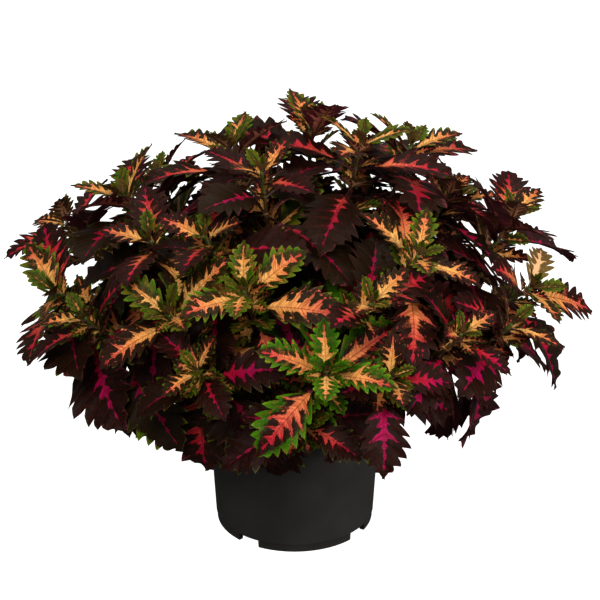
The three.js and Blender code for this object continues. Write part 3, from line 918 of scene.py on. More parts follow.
@dataclass
class LeafyStem:
    """One square stem with its pairs of leaves, its young tip and the small leaves of its axils.

    Attributes:
        number: Its place in the row of crowns, from 0.
        crown: Its tip.
        ages: The age of each pair, the youngest first, on a stem of middling glow.
        dim_ages: How much older each pair is on a stem that doesn't glow.
        bright_ages: How much younger each pair is on the brightest stem.
        tip_pairs: The pairs that are still opening.
        first_shoot: The youngest pair that has side shoots.
        shoot_places: How far below the tip the side shoots are that have shoot_lengths.
        shoot_lean: How far a shoot leans out, from and to, as a share of how far it goes up.
        shoot_scale: Its size, from and to, as a share of the usual.
        shoot_open: How far its leaves open, from and to, as a share of how far they go ahead.
        shoot_blades: The length of each blade, from and to, as a share of the shoot's.
        upper_pair: How far up the uppermost of the bare shoots has its second pair.
        upper_size: The size of that pair as a share of the first.
        bare_shoots: How far below the tip the bare part of the stem has side shoots.
        bare_foot: How much of the stem above its foot has none.
        curled: The one curled leaf: its stem's number, its pair, and its side in degrees.
    """

    number: int
    crown: Crown
    ages: tuple[float, ...] = (0.02, 0.2, 0.4, 0.6, 0.8, 1.0)
    dim_ages: tuple[float, ...] = (0.05, 0.2, 0.35, 0.35, 0.25, 0.1)
    bright_ages: tuple[float, ...] = (0.0, 0.0, 0.08, 0.24, 0.34, 0.4)
    age_spread: float = 0.1
    tip_pairs: tuple[Pair, ...] = (Pair(0.3, 2.2, 11.5, 26, -20, 0), Pair(0.3, 1.2, 6.5, 12, -20, 0))
    tip_age: float = -0.08
    tip_spread: float = 8
    sides: int = 12
    ring_gap: float = 4.0
    foot_length: float = 8
    swelling: float = 0.3
    swelling_half: float = 2.2
    sheet_length: float = 200
    age_length: float = 130
    most_age: float = 1.2
    first_shoot: int = 2
    shoot_rise: float = 2
    shoot_places: tuple[float, ...] = (10, 45, 100)
    shoot_lengths: tuple[float, ...] = (21, 37, 46)
    shoot_neck: float = 1.5
    shoot_lean: tuple[float, float] = (0.7, 1.1)
    shoot_scale: tuple[float, float] = (0.75, 1.1)
    shoot_open: tuple[float, float] = (0.35, 0.6)
    shoot_ages: tuple[float, float] = (0.1, 0.45)
    shoot_petiole: float = 2.5
    shoot_blades: tuple[float, float] = (0.8, 1.1)
    shoot_bend: float = 18
    upper_pair: float = 2
    upper_size: float = 0.6
    bare_shoots: tuple[float, ...] = (82, 100, 122)
    bare_foot: float = 25
    curled: tuple[int, int, float] = (11, 1, 0)
    curled_bend: float = 62

    def __post_init__(self) -> None:
        """Starts its mesh, its draws and the search for its leaves."""
        self.grower = Grower(self.number, self.crown)
        self.line = self.grower.line
        self.draws = np.random.default_rng(SEED + self.number)
        self.maker = MeshMaker(f"{self.grower.node}_dressed")

    def build(self, materials: Sequence[bpy.types.Material]) -> bpy.types.Object:
        """Makes the stem's mesh.

        Args:
            materials: The materials of the upper face, the under face and the stem.

        Returns:
            The object, which replaces the stem's solid.
        """
        self.add_stem()
        dim, bright = max(1 - self.crown.glow, 0), max(self.crown.glow - 1, 0)
        ages = np.array(self.ages) + dim * np.array(self.dim_ages) - bright * np.array(self.bright_ages)
        count = 0
        for level, hold, turn in self.grower.leaves():
            chance = self.draws.random(DRAWS)
            age = ages[level] + self.age_spread * (chance[0] - 0.5)
            curled = (self.number, level, turn - self.crown.pair_turn(level)) == self.curled
            if curled:
                hold.bend = math.radians(self.curled_bend)
            Leaf(hold, CUTS[level], age, self.crown, chance, curled=curled).add(self.maker)
            if level >= self.first_shoot:
                self.add_shoot(PAIRS[level].below - self.shoot_rise, turn)
            count += 1
        for step, below in enumerate(self.bare_shoots):
            if below < self.line.depths[-1] - self.bare_foot:
                for half in (0, 180):
                    self.add_shoot(below, self.crown.pair_turn(0) + 90 * step + half)
        self.add_tip()
        made = self.maker.build(materials, "leaf", self.grower.node)
        LOG.info("%s: %d leaves, %d faces", made.name, count, len(made.data.polygons))
        return made

    def add_stem(self) -> None:
        """Adds the square stem, with rounded corners, hollow sides and a swelling at each pair."""
        line, facings = self.line, self.line.facings()
        places = [pair.below for pair in PAIRS]
        depth = np.arange(0.2, line.depths[-1], self.ring_gap)
        depth = np.unique(np.concatenate((depth, places, (line.depths[-1],))))
        corners = np.linspace(0, 2 * math.pi, self.sides, endpoint=False)
        section = 1.16 - 0.2 * np.abs(np.cos(2 * corners)) ** 0.8
        rings = []
        for below in depth:
            point, _, across, front = line.at(below)
            near = max(math.exp(-(((below - place) / self.swelling_half) ** 2)) for place in places)
            radius = line.half(below) * section * (1 + self.swelling * near)
            angles = corners + math.radians(np.interp(below, places, facings))
            out = across * (radius * np.cos(angles))[:, None]
            rings.append(point + out + front * (radius * np.sin(angles))[:, None])
        rings.append(rings[-1] - UP * self.foot_length)
        middle = rings[0].mean(axis=0)
        depth = np.concatenate(((0,), depth, (line.depths[-1] + self.foot_length,)))[:, None]
        age = np.clip(depth / self.age_length, 0, self.most_age)
        age[-1] = self.most_age
        self.maker.grid(
            np.array([middle + (rings[0] - middle) * 0.1, *rings]),
            Coat.STEM,
            wrap=True,
            u=depth / self.sheet_length,
            v=corners / (2 * math.pi),
            age=age,
            chance=self.draws.random(),
        )

    def add_tip(self) -> None:
        """Adds the pairs that are still opening at the very tip."""
        for step, pair in enumerate(self.tip_pairs, start=1):
            place = self.line.at(pair.below)
            for half in (0, 180):
                turn, roll = self.draws.uniform(-self.tip_spread, self.tip_spread, 2)
                turn = self.crown.pair_turn(0) + 90 * step + half + turn
                hold = self.grower.hold(place, pair, self.crown.size, turn, pair.pitch, roll)
                chance = self.draws.random(DRAWS)
                Leaf(hold, CUTS[0], self.tip_age, self.crown, chance, COARSE).add(self.maker)

    def add_shoot(self, below: float, turn: float) -> None:
        """Adds the small leaves of a side shoot that starts from the stem.

        Args:
            below: How far below the tip it starts.
            turn: Its direction about the stem, in degrees.
        """
        draws = self.draws
        point, along, across, front = self.line.at(below)
        around = math.radians(turn)
        out = across * math.cos(around) + front * math.sin(around)
        shoot = unit(along + out * draws.uniform(*self.shoot_lean))
        side = unit(np.cross(shoot, out))
        base = point + out * self.line.half(below) + shoot * self.shoot_neck
        usual = np.interp(below, self.shoot_places, self.shoot_lengths)
        length = draws.uniform(*self.shoot_scale) * usual
        pairs = [(side, 0, 1.0)]
        if below == self.bare_shoots[0]:
            pairs.append((unit(np.cross(shoot, side)), self.upper_pair, self.upper_size))
        for level, rise, share in pairs:
            for sign in (1, -1):
                ahead = unit(shoot + level * sign * draws.uniform(*self.shoot_open))
                face = unit(np.cross(ahead, level * sign) * sign)
                if np.dot(face, along) < 0:
                    face = -face
                face = unit(face - ahead * np.dot(face, ahead))
                blade = length * share * draws.uniform(*self.shoot_blades)
                bend = math.radians(self.shoot_bend)
                hold = Hold(base + shoot * rise, ahead, face, self.shoot_petiole, blade, bend)
                age = draws.uniform(*self.shoot_ages)
                Leaf(hold, SHOOT_CUT, age, self.crown, draws.random(DRAWS), COARSE).add(self.maker)


# ---------------------------------------------------------------- pot and peat


@dataclass
class NurseryPot:
    """The round pot: a tapered wall with a rolled rim, a floor, and a foot ring with notches."""

    sizes: PotSizes = POT
    steps: int = 240
    edge: float = 0.06
    wall_start: float = 9
    wall_rings: int = 14
    inner_ring: float = 60
    hole_sides: int = 32
    sharp: float = 38

    def rounding(self, height: float, *angles: float) -> list[tuple[float, float]]:
        """Points round one edge of the rim.

        Args:
            height: The height of the rounding's middle.
            *angles: Where the points are about it, in degrees.

        Returns:
            The points, each a radius and a height.
        """
        size = self.sizes.rim_round
        middle = self.sizes.rim_radius - size
        turns = [math.radians(angle) for angle in angles]
        return [(middle + size * math.cos(turn), height + size * math.sin(turn)) for turn in turns]

    def profile(self) -> list[tuple[float, float]]:
        """The section of the pot from the middle underneath, round the wall, to the middle inside.

        Returns:
            Its corners, each a radius and a height.
        """
        p = self.sizes
        rim_bottom = p.height - p.rim_drop
        floor_top = p.foot_height + p.floor
        inner = p.foot_radius - p.foot_width
        foot_top = p.wall_at(p.foot_height)
        heights = np.linspace(self.wall_start, rim_bottom - 1, self.wall_rings)
        return [
            (0.01, p.foot_height),
            (inner - 6, p.foot_height),
            (inner - 0.3, p.foot_height),
            (inner, p.foot_height - 0.4),
            (inner + p.foot_draft, 0.4),
            (inner + p.foot_draft + 0.4, 0),
            (p.foot_radius - 0.5, 0),
            (p.foot_radius, 0.5),
            (foot_top - 0.15, p.foot_height - 0.3),
            (foot_top, p.foot_height),
            (foot_top + p.step_out, p.foot_height + 0.4),
            *((p.wall_at(height) + p.step_out * (1 - height / rim_bottom), height) for height in heights),
            (p.wall_top_radius, rim_bottom),
            (p.wall_top_radius + 0.6, rim_bottom + 0.3),
            *self.rounding(rim_bottom + p.rim_round * 1.4, -90, -60, -30, 0),
            *self.rounding(p.height - p.rim_round, 0, 30, 60, 90),
            (p.rim_radius - 3 * p.rim_round, p.height),
            (p.rim_radius - 3.4 * p.rim_round, p.height - 0.4),
            (p.wall_top_radius - p.wall, rim_bottom - p.rim_filled),
            (p.wall_at(self.inner_ring) - p.wall, self.inner_ring),
            (p.wall_at(floor_top) - p.wall, floor_top),
            (0.01, floor_top),
        ]

    def angles(self) -> Array:
        """The directions of the profile's copies, with two close together at each notch's sides.

        Returns:
            The directions in degrees.
        """
        p = self.sizes
        found = list(np.arange(self.steps) * 360 / self.steps)
        for notch in range(p.notches):
            middle = -90 - p.notch_turn + 360 / p.notches * notch
            for side in (-0.5, 0.5):
                border = middle + side * p.notch_angle
                found += [border - self.edge, border + self.edge]
        return np.unique(np.round(np.mod(found, 360), 4))

    def build(self, material: bpy.types.Material) -> bpy.types.Object:
        """Makes the pot.

        Args:
            material: Its plastic.

        Returns:
            The object, which replaces the pot's solid.
        """
        p = self.sizes
        radius, level = np.array(self.profile()).T
        angles = self.angles()
        around = np.radians(angles)
        height = np.repeat(level[:, None], len(angles), axis=1)
        half = 180 / p.notches
        off = np.abs(np.mod(angles + 90 + p.notch_turn + half, 2 * half) - half)
        notched = np.ix_((level < p.notch_height) & (radius > p.foot_radius - 8), off < p.notch_angle / 2)
        height[notched] = np.maximum(height[notched], p.notch_height)
        x, y = radius[:, None] * np.cos(around), radius[:, None] * np.sin(around)
        points = np.stack((x, y, height), axis=-1)
        maker = MeshMaker("pot_dressed")
        maker.grid(points, wrap=True, flip=True, u=angles / 360, v=height / p.height)
        made = maker.build([material], "pot", "pot")
        self.drill(made)
        made.data.set_sharp_from_angle(angle=math.radians(self.sharp))
        LOG.info("%s: %d faces", made.name, len(made.data.polygons))
        return made

    def drill(self, made: bpy.types.Object) -> None:
        """Cuts the drain holes.

        Args:
            made: The pot.
        """
        p = self.sizes
        for hole in range(p.drain_holes):
            around = 2 * math.pi * hole / p.drain_holes
            place = (
                p.drain_circle * math.cos(around) * MM,
                p.drain_circle * math.sin(around) * MM,
                (p.foot_height + p.floor / 2) * MM,
            )
            bpy.ops.mesh.primitive_cylinder_add(
                vertices=self.hole_sides, radius=p.drain_radius * MM, depth=4 * p.floor * MM, location=place
            )
            drill = bpy.context.object
            cut = made.modifiers.new("drain", "BOOLEAN")
            cut.operation = "DIFFERENCE"
            cut.solver = "EXACT"
            cut.object = drill
            bpy.context.view_layer.objects.active = made
            bpy.ops.object.modifier_apply(modifier=cut.name)
            bpy.data.objects.remove(drill)


@dataclass
class Peat:
    """The peat: a crumbly top that dips to the wall, and plain sides and bottom."""

    sizes: PotSizes = POT
    rings: int = 56
    steps: int = 150
    lumps: int = 60
    crumb: float = 0.9
    crumble: float = 0.16
    clearance: float = 0.5
    edge_dip: float = 0.6

    def build(self, material: bpy.types.Material) -> bpy.types.Object:
        """Makes the peat.

        Args:
            material: Its finish.

        Returns:
            The object, which replaces the peat's solid.
        """
        p = self.sizes
        draws = np.random.default_rng(SEED)
        inset = p.wall + self.clearance
        radius = np.linspace(0.01, p.wall_at(p.peat_edge) - inset, self.rings)
        around = np.linspace(0, 2 * math.pi, self.steps, endpoint=False)
        height = np.array([p.peat_height(r) for r in radius])[:, None] + np.zeros(self.steps)
        x, y = radius[:, None] * np.cos(around), radius[:, None] * np.sin(around)
        for step, (facing, strength, start) in enumerate(draws.normal(size=(self.lumps, 3))):
            pitch = 0.25 + 1.1 * step / self.lumps
            along = x * math.cos(3 * facing) + y * math.sin(3 * facing)
            wave = np.sin(pitch * along + 6 * start)
            height += self.crumb * 0.32 * wave / (1 + 0.6 * pitch) * (0.6 + 0.4 * abs(strength))
        height += draws.normal(scale=self.crumble, size=height.shape)
        height[-2:] = p.peat_edge - self.edge_dip
        rows = list(np.stack((x, y, height), axis=-1))
        bottom = p.foot_height + p.floor + self.clearance
        for share in (0.7, 0.35, 0.0):
            level = bottom + (p.peat_edge - bottom) * share
            out = p.wall_at(level) - inset
            rows.append(np.stack((out * np.cos(around), out * np.sin(around), 0 * around + level), axis=-1))
        rows.append(rows[-1] * np.array((0.001, 0.001, 1)))
        maker = MeshMaker("peat_dressed")
        maker.grid(np.array(rows), wrap=True)
        made = maker.build([material], "peat", "peat")
        LOG.info("%s: %d faces", made.name, len(made.data.polygons))
        return made


# ---------------------------------------------------------------- finishes


def reckoning(operation: str, swapped: bool = False) -> Callable[["Signal", "Amount"], "Signal"]:
    """A method for one of a signal's operators.

    Args:
        operation: What the Math node does.
        swapped: Whether the signal stands second.

    Returns:
        The method, which adds the node.
    """

    def method(signal: "Signal", other: "Amount") -> "Signal":
        """Adds the node."""
        return signal.wiring.reckon(operation, *((other, signal) if swapped else (signal, other)))

    return method


class Signal:
    """What a node puts out. It is reckoned with like a number, and each step adds a Math node."""

    def __init__(self, wiring: "Wiring", socket: bpy.types.NodeSocket) -> None:
        """Takes up one output of a node."""
        self.wiring = wiring
        self.socket = socket

    def __abs__(self) -> "Signal":
        """Its size without its sign."""
        return self.wiring.reckon("ABSOLUTE", self)

    __add__, __radd__ = reckoning("ADD"), reckoning("ADD", swapped=True)
    __sub__, __rsub__ = reckoning("SUBTRACT"), reckoning("SUBTRACT", swapped=True)
    __mul__, __truediv__, __pow__ = reckoning("MULTIPLY"), reckoning("DIVIDE"), reckoning("POWER")


NUMBER = "NodeSocketFloat"
Amount = Union[Signal, float]
Colour = Union[Signal, Paint]
Stops = tuple[tuple[float, str], ...]


class Wiring:
    """Adds nodes to a tree and joins them, so that a finish reads as a sum."""

    def __init__(self, tree: bpy.types.NodeTree) -> None:
        """Starts on an empty or a given tree."""
        self.tree = tree

    def node(self, kind: str, **settings: object) -> bpy.types.Node:
        """Adds a node.

        Args:
            kind: Its type.
            **settings: Its settings by name.

        Returns:
            The node.
        """
        made = self.tree.nodes.new(kind)
        for name, value in settings.items():
            setattr(made, name, value)
        return made

    def feed(self, socket: bpy.types.NodeSocket, value: Union[Amount, Colour]) -> None:
        """Joins an input to a signal, or sets it to a number or colour.

        Args:
            socket: The input.
            value: What it gets.
        """
        if isinstance(value, Signal):
            self.tree.links.new(value.socket, socket)
        else:
            socket.default_value = value

    def reckon(self, operation: str, *values: Amount, clamp: bool = False) -> Signal:
        """A Math node's result.

        Args:
            operation: The name of the operation, such as MULTIPLY.
            *values: Its inputs.
            clamp: Whether the result stays between 0 and 1.

        Returns:
            The result.
        """
        made = self.node("ShaderNodeMath", operation=operation, use_clamp=clamp)
        for socket, value in zip(made.inputs, values):
            self.feed(socket, value)
        return Signal(self, made.outputs[0])

    def step(self, value: Amount, low: float, high: float, start: float = 0.0, end: float = 1.0) -> Signal:
        """An S-curve over a value.

        Args:
            value: The value.
            low: The value up to which the curve is at its start.
            high: The value from which it is at its end.
            start: Its height before.
            end: Its height after.

        Returns:
            Its height.
        """
        made = self.node("ShaderNodeMapRange", interpolation_type="SMOOTHSTEP")
        names = ("Value", "From Min", "From Max", "To Min", "To Max")
        for name, given in zip(names, (value, low, high, start, end)):
            self.feed(made.inputs[name], given)
        return Signal(self, made.outputs["Result"])

    def blend(self, share: Amount, first: Colour, second: Colour, how: str = "MIX") -> Signal:
        """A mix of two colours.

        Args:
            share: How much of the second shows.
            first: The first colour.
            second: The second colour.
            how: The way that they mix, such as MULTIPLY.

        Returns:
            The mixed colour.
        """
        made = self.node("ShaderNodeMix", data_type="RGBA", blend_type=how)
        # the node's sockets for colours share their names with those for numbers
        for number, given in ((0, share), (6, first), (7, second)):
            self.feed(made.inputs[number], given)
        return Signal(self, made.outputs[2])

    def ramp(self, value: Amount, stops: Stops) -> Signal:
        """A colour from a row of stops.

        Args:
            value: The place in the row.
            stops: Each stop's place and hex code.

        Returns:
            The colour.
        """
        made = self.node("ShaderNodeValToRGB")
        marks = made.color_ramp.elements
        while len(marks) < len(stops):
            marks.new(0.5)
        for mark, (place, code) in zip(marks, stops):
            mark.position = place
            mark.color = paint(code)
        self.feed(made.inputs[0], value)
        return Signal(self, made.outputs["Color"])

    def noise(self, vector: Signal, scale: Amount, detail: Amount = 2.0, rough: Amount = 0.5) -> Signal:
        """A cloudy pattern.

        Args:
            vector: Where it is looked up.
            scale: How fine it is.
            detail: How many finer clouds are laid over it.
            rough: How strong those are.

        Returns:
            Its value, from 0 to 1.
        """
        made = self.node("ShaderNodeTexNoise", noise_dimensions="3D")
        for name, given in (("Vector", vector), ("Scale", scale), ("Detail", detail), ("Roughness", rough)):
            self.feed(made.inputs[name], given)
        return Signal(self, made.outputs["Fac"])

    def dots(self, vector: Signal, scale: float, dimensions: str = "3D") -> Signal:
        """Scattered dots.

        Args:
            vector: Where they are looked up.
            scale: How close together they are.
            dimensions: 2D or 3D.

        Returns:
            The distance to the nearest dot.
        """
        made = self.node("ShaderNodeTexVoronoi", voronoi_dimensions=dimensions, feature="F1")
        made.inputs["Scale"].default_value = scale
        self.feed(made.inputs["Vector"], vector)
        return Signal(self, made.outputs["Distance"])

    def lots(self, value: Signal, dimensions: str = "1D") -> tuple[Signal, Signal, Signal]:
        """Three draws from 0 to 1 that are the same wherever a value is.

        Args:
            value: A number, or a vector if it is drawn in 3D.
            dimensions: 1D or 3D.

        Returns:
            The draws.
        """
        made = self.node("ShaderNodeTexWhiteNoise", noise_dimensions=dimensions)
        self.feed(made.inputs["W" if dimensions == "1D" else "Vector"], value)
        return self.parts(Signal(self, made.outputs["Color"]))

    def vector(self, x: Amount, y: Amount, z: Amount) -> Signal:
        """A vector.

        Args:
            x: Its first part.
            y: Its second part.
            z: Its third part.

        Returns:
            The vector.
        """
        made = self.node("ShaderNodeCombineXYZ")
        for socket, value in zip(made.inputs, (x, y, z)):
            self.feed(socket, value)
        return Signal(self, made.outputs[0])

    def parts(self, vector: Signal) -> tuple[Signal, Signal, Signal]:
        """The three parts of a vector.

        Args:
            vector: The vector.

        Returns:
            Its parts.
        """
        made = self.node("ShaderNodeSeparateXYZ")
        self.feed(made.inputs[0], vector)
        x, y, z = made.outputs
        return Signal(self, x), Signal(self, y), Signal(self, z)

    def mark(self, name: str) -> Signal:
        """A number that the mesh carries."""
        return Signal(self, self.node("ShaderNodeAttribute", attribute_name=name).outputs["Fac"])

    def place(self) -> Signal:
        """The point of the surface in the object's own metres."""
        return Signal(self, self.node("ShaderNodeTexCoord").outputs["Object"])

    def seen(self) -> Signal:
        """1 where the camera looks straight at the surface, and 0 for the light that it throws."""
        return Signal(self, self.node("ShaderNodeLightPath").outputs["Is Camera Ray"])

    def group(self, tree: bpy.types.NodeTree, **values: Amount) -> tuple[Signal, ...]:
        """Places a group with its own values.

        Args:
            tree: The group.
            **values: What its inputs get, by name.

        Returns:
            What its outputs bring, in their order.
        """
        made = self.node("ShaderNodeGroup", node_tree=tree)
        for name, value in values.items():
            self.feed(made.inputs[name], value)
        return tuple(Signal(self, socket) for socket in made.outputs)

    def grain(
        self, tree: bpy.types.NodeTree, scale: float, detail: float, rough: float, stretch: float = 1.0
    ) -> Signal:
        """The grain of the surface.

        Args:
            tree: The group of the grain.
            scale: How fine it is.
            detail: How many finer grains are laid over it.
            rough: How strong those are.
            stretch: What heights count for: a grain below 1 is drawn out up and down.

        Returns:
            Its value, from 0 to 1.
        """
        given = {"Stretch": stretch, "Scale": scale, "Detail": detail, "Roughness": rough}
        return self.group(tree, Place=self.place(), **given)[0]

    def bump(self, height: Signal, strength: float, distance: float) -> Signal:
        """The lie of a surface that a height is added to.

        Args:
            height: The height.
            strength: How much of it shows, from 0 to 1.
            distance: How high 1 is, in millimetres.

        Returns:
            The normal.
        """
        made = self.node("ShaderNodeBump")
        made.inputs["Strength"].default_value = strength
        made.inputs["Distance"].default_value = distance * MM
        self.feed(made.inputs["Height"], height)
        return Signal(self, made.outputs[0])


def new_group(
    name: str, inputs: dict[str, str], outputs: dict[str, str]
) -> tuple[Wiring, list[Signal], dict[str, bpy.types.NodeSocket]]:
    """A shader node group with named sockets.

    Args:
        name: The group's name.
        inputs: The kinds of its inputs by name.
        outputs: The kinds of its outputs by name.

    Returns:
        The group's wiring, what its inputs bring, and the sockets of its outputs by name.
    """
    tree = bpy.data.node_groups.new(name, "ShaderNodeTree")
    for side, sockets in (("INPUT", inputs), ("OUTPUT", outputs)):
        for word, kind in sockets.items():
            tree.interface.new_socket(name=word, in_out=side, socket_type=kind)
    wiring = Wiring(tree)
    entry, leave = wiring.node("NodeGroupInput"), wiring.node("NodeGroupOutput")
    brought = [Signal(wiring, socket) for socket in entry.outputs if socket.name]
    return wiring, brought, {socket.name: socket for socket in leave.inputs if socket.name}


def new_grain() -> bpy.types.NodeTree:
    """Makes the group for the grain that all the part's materials have.

    Returns:
        The group, which takes Place, Stretch, Scale, Detail and Roughness and puts out Grain.
    """
    numbers = dict.fromkeys(("Stretch", "Scale", "Detail", "Roughness"), NUMBER)
    w, brought, leave = new_group("grain", {"Place": "NodeSocketVector", **numbers}, {"Grain": NUMBER})
    place, stretch, scale, detail, rough = brought
    x, y, z = w.parts(place)
    w.feed(leave["Grain"], w.noise(w.vector(x, y, z * stretch), scale, detail, rough))
    return w.tree


class LeafPainting:
    """The shader group that paints a blade.

    A jagged splash lies along the veins, on a dark or olive field inside a green margin. The
    group takes U, V and the marks, and puts out Colour, Splash and Height.
    """

    splash_colours: Stops = (
        (0.0, "f0bc72"), (0.16, "eba65c"), (0.36, "e48256"), (0.5, "d75c4c"),
        (0.66, "c8303c"), (0.82, "b81a3e"), (0.92, "b40a46"), (1.0, "b00858"),
    )
    splash_shadow = "beaea2"
    greens: Stops = ((0.2, "142400"), (0.45, "2c4600"), (0.7, "466a00"), (1.0, "74901a"))
    vivid_greens: Stops = ((0.2, "102a00"), (0.45, "254e00"), (0.7, "427400"), (1.0, "90a82a"))
    tan = "665818"
    darks = ("210d07", "38150d")
    olives = ("2a2e09", "4e480f")
    mossy_dark = "1e1c08"
    # painted highlight: the pale line along the edge of dark leaves
    dark_edge_highlight = "3e2015"
    green_hem = "5e6024"
    young_hem = "7c9024"
    side_vein = "6a2418"
    young_midrib = "8a3418"
    old_midrib = "7a1830"

    def __init__(self) -> None:
        """Makes the group, the patterns that its layers share, and its outputs."""
        w, brought, leave = new_group(
            "leaf_painting",
            dict.fromkeys((word.title() for word in COLUMNS), NUMBER),
            {"Colour": "NodeSocketColor", "Splash": NUMBER, "Height": NUMBER},
        )
        self.w = w
        self.tree = w.tree
        self.u, self.v, self.vein, self.age, chance, self.lime, blush, self.hem = brought
        self.out = abs(self.v)
        self.pink = blush - 0.5
        self.own = chance * 61.0
        nearest = w.reckon("ROUND", self.vein)
        self.beside = self.vein - nearest
        self.lobe, self.girth, _ = w.lots(w.vector(nearest, w.reckon("SIGN", self.v), self.own), "3D")
        self.show, self.tint, self.moss = w.lots(self.own)
        self.jag = self.cloud(1.1, 3.6, self.own, 3.4, 4.0, 0.7) - 0.5
        self.bent = self.cloud(0.8, 2.4, self.own + 9.0, 1.7, 2.0, 0.5)
        self.streak = self.cloud(9.0, 1.6, self.own, 1.0, 3.0, 0.6)
        self.mottle = self.cloud(2.0, 7.0, self.own, 1.4, 4.0, 0.6)
        self.young = w.step(self.age - self.lime * 0.25, -0.05, 0.35, 1.0, 0.0)
        splash = self.splash()
        colour = w.blend(self.margin(), self.field(), self.green())
        colour = self.hem_and_highlight(colour)
        colour = w.blend(w.reckon("MAXIMUM", splash, self.spots()), colour, self.warm())
        side_veins = w.step(abs(self.beside) * 2.0, 0.02, 0.1, 1.0, 0.0) * self.inside(0.75, 0.95)
        midrib = w.step(self.out, 0.006, 0.026, 1.0, 0.0)
        colour = w.blend(side_veins * 0.2, colour, paint(self.side_vein))
        rib = w.blend(w.step(self.age, 0.2, 0.6), paint(self.young_midrib), paint(self.old_midrib))
        w.feed(leave["Colour"], w.blend(midrib * 0.8, colour, rib))
        w.feed(leave["Splash"], splash)
        w.feed(leave["Height"], self.mottle * 0.8 + (side_veins + midrib) * -0.45)

    def cloud(
        self, along: float, across: float, own: Signal, scale: float, detail: float, rough: float
    ) -> Signal:
        """A cloudy pattern in the leaf's own grain.

        Args:
            along: How fine it is from one side vein to the next.
            across: How fine it is from the midrib to the margin.
            own: What makes it the leaf's own.
            scale: How fine it is in all.
            detail: How many finer clouds are laid over it.
            rough: How strong those are.

        Returns:
            Its value, from 0 to 1.
        """
        return self.w.noise(self.w.vector(self.vein * along, self.v * across, own), scale, detail, rough)

    def inside(self, low: float, high: float) -> Signal:
        """1 from the midrib out to low, and 0 from high out to the margin."""
        return self.w.step(self.out, low, high, 1.0, 0.0)

    def splash(self) -> Signal:
        """Where the splash is: a core along the midrib, and a flame, long or short, at each side vein.

        Returns:
            1 on the splash and 0 off it.
        """
        w, age = self.w, self.age
        spare = w.step(self.show + self.pink * 0.64, 0.4, 0.95, 0.22, 1.1) - 1.0
        bold = (1.0 + spare * w.step(age, 0.5, 0.85)) * w.step(age, 0.0, 0.3, 0.08, 1.0)
        past = w.reckon("SUBTRACT", 1.02, self.u, clamp=True)
        reach = (0.3 + w.step(self.lobe, 0.2, 0.6, 0.0, 0.7)) * past ** w.step(age, 0.3, 0.9, 0.55, 0.9)
        loose = abs(self.beside + (self.bent - 0.5) * 0.55) * 2.0
        flame = 1.0 - (loose / (0.55 + self.girth * 0.7)) ** 0.9
        core = past**1.15 * w.step(age, 0.3, 0.95, 0.34, 0.19)
        border = w.reckon("MAXIMUM", core, reach * flame) * bold
        rough = w.step(age, 0.4, 0.9, 0.05, 0.13) + border * 1.15
        border = border + (self.jag + (self.streak - 0.5) * 0.7) * rough
        border = border * w.step(self.u, 0.86, 0.98, 1.0, 0.0)
        return w.step(border - self.out, -0.012, 0.028)

    def spots(self) -> Signal:
        """The spots beyond the splash on leaves that are turning.

        Returns:
            1 on a spot and 0 off it.
        """
        w, age = self.w, self.age
        distance = w.dots(w.vector(self.vein + self.own, self.v * 3.0, 0.0), 1.9, "2D")
        spot = w.step(distance, 0.16, 0.24, 1.0, 0.0) * w.step(self.bent, 0.56, 0.6)
        turning = w.step(age, 0.12, 0.3) * w.step(age, 0.5, 0.7, 1.0, 0.0)
        return spot * turning * self.inside(0.9, 0.96)

    def warm(self) -> Signal:
        """The splash's colour, from yellow at the neck of a young leaf to magenta on an old one.

        Returns:
            The colour.
        """
        w, age = self.w, self.age
        tone = (
            w.step(age, 0.34, 0.98, 0.0, 0.86)
            + self.u**1.6 * w.step(age, 0.05, 0.4, 0.44, 0.7)
            + self.out**1.4 * 0.36
            + self.jag * 0.25
            + (self.tint - 0.6) * 0.2
            + self.pink * w.step(age, 0.4, 0.8) * 0.22
        )
        colour = w.ramp(tone, self.splash_colours)
        shadow = w.blend(1.0, colour, paint(self.splash_shadow), "MULTIPLY")
        return w.blend(w.step(self.streak, 0.35, 0.65), shadow, colour)

    def field(self) -> Signal:
        """The colour between the splash and the margin: olive while young, and then nearly black.

        Returns:
            The colour.
        """
        w = self.w
        patches = w.step(self.mottle, 0.4, 0.75)
        dark = w.blend(patches, *map(paint, self.darks))
        dark = w.blend(w.step(self.moss, 0.45, 0.9, 0.0, 0.6), dark, paint(self.mossy_dark))
        return w.blend(self.young, dark, w.blend(patches, *map(paint, self.olives)))

    def green(self) -> Signal:
        """The margin's green, with tan patches, and more vivid on the greenest stems.

        Returns:
            The colour.
        """
        w = self.w
        shade = self.mottle * 0.7 + self.out**2.0 * 0.4
        patches = w.step(self.bent, 0.41, 0.58, 0.0, 0.72)
        colour = w.blend(patches, w.ramp(shade, self.greens), paint(self.tan))
        return w.blend(w.step(self.lime, 0.75, 1.0, 0.0, 0.8), colour, w.ramp(shade, self.vivid_greens))

    def margin(self) -> Signal:
        """Where the green margin is: wide on young leaves, gone on old ones.

        Returns:
            1 on the margin and 0 inside it.
        """
        w = self.w
        edge = (
            w.step(self.age, 0.04, 0.5, 0.1, 1.06)
            + (self.lobe - 0.5) * 0.3
            + w.step(self.u, 0.72, 1.0, 0.0, 0.3)
            + w.step(self.lime, 0.1, 0.9, 0.36, -0.2)
            - w.step(self.lime, 0.72, 1.0, 0.0, 0.34)
        )
        return w.step(self.out - edge + self.jag * 0.5, -0.06, 0.06)

    def hem_and_highlight(self, colour: Signal) -> Signal:
        """A colour with the thin pale line, broken here and there, at the very edge of the blade: the lime margin of
        green and young leaves, and a painted highlight along the edge of dark ones.

        Args:
            colour: The colour.

        Returns:
            The colour with the line.
        """
        w = self.w
        line = w.step(self.hem + self.jag * 0.35, 0.9, 1.02)
        # on dark leaves the pale edge line is a painted highlight; on green and young leaves it is their lime margin
        pale = w.blend(w.step(self.lime, 0.45, 0.7), paint(self.dark_edge_highlight), paint(self.green_hem))
        pale = w.blend(self.young, pale, paint(self.young_hem))
        return w.blend(line * w.step(self.girth, 0.2, 0.9, 0.0, 0.9), colour, pale)


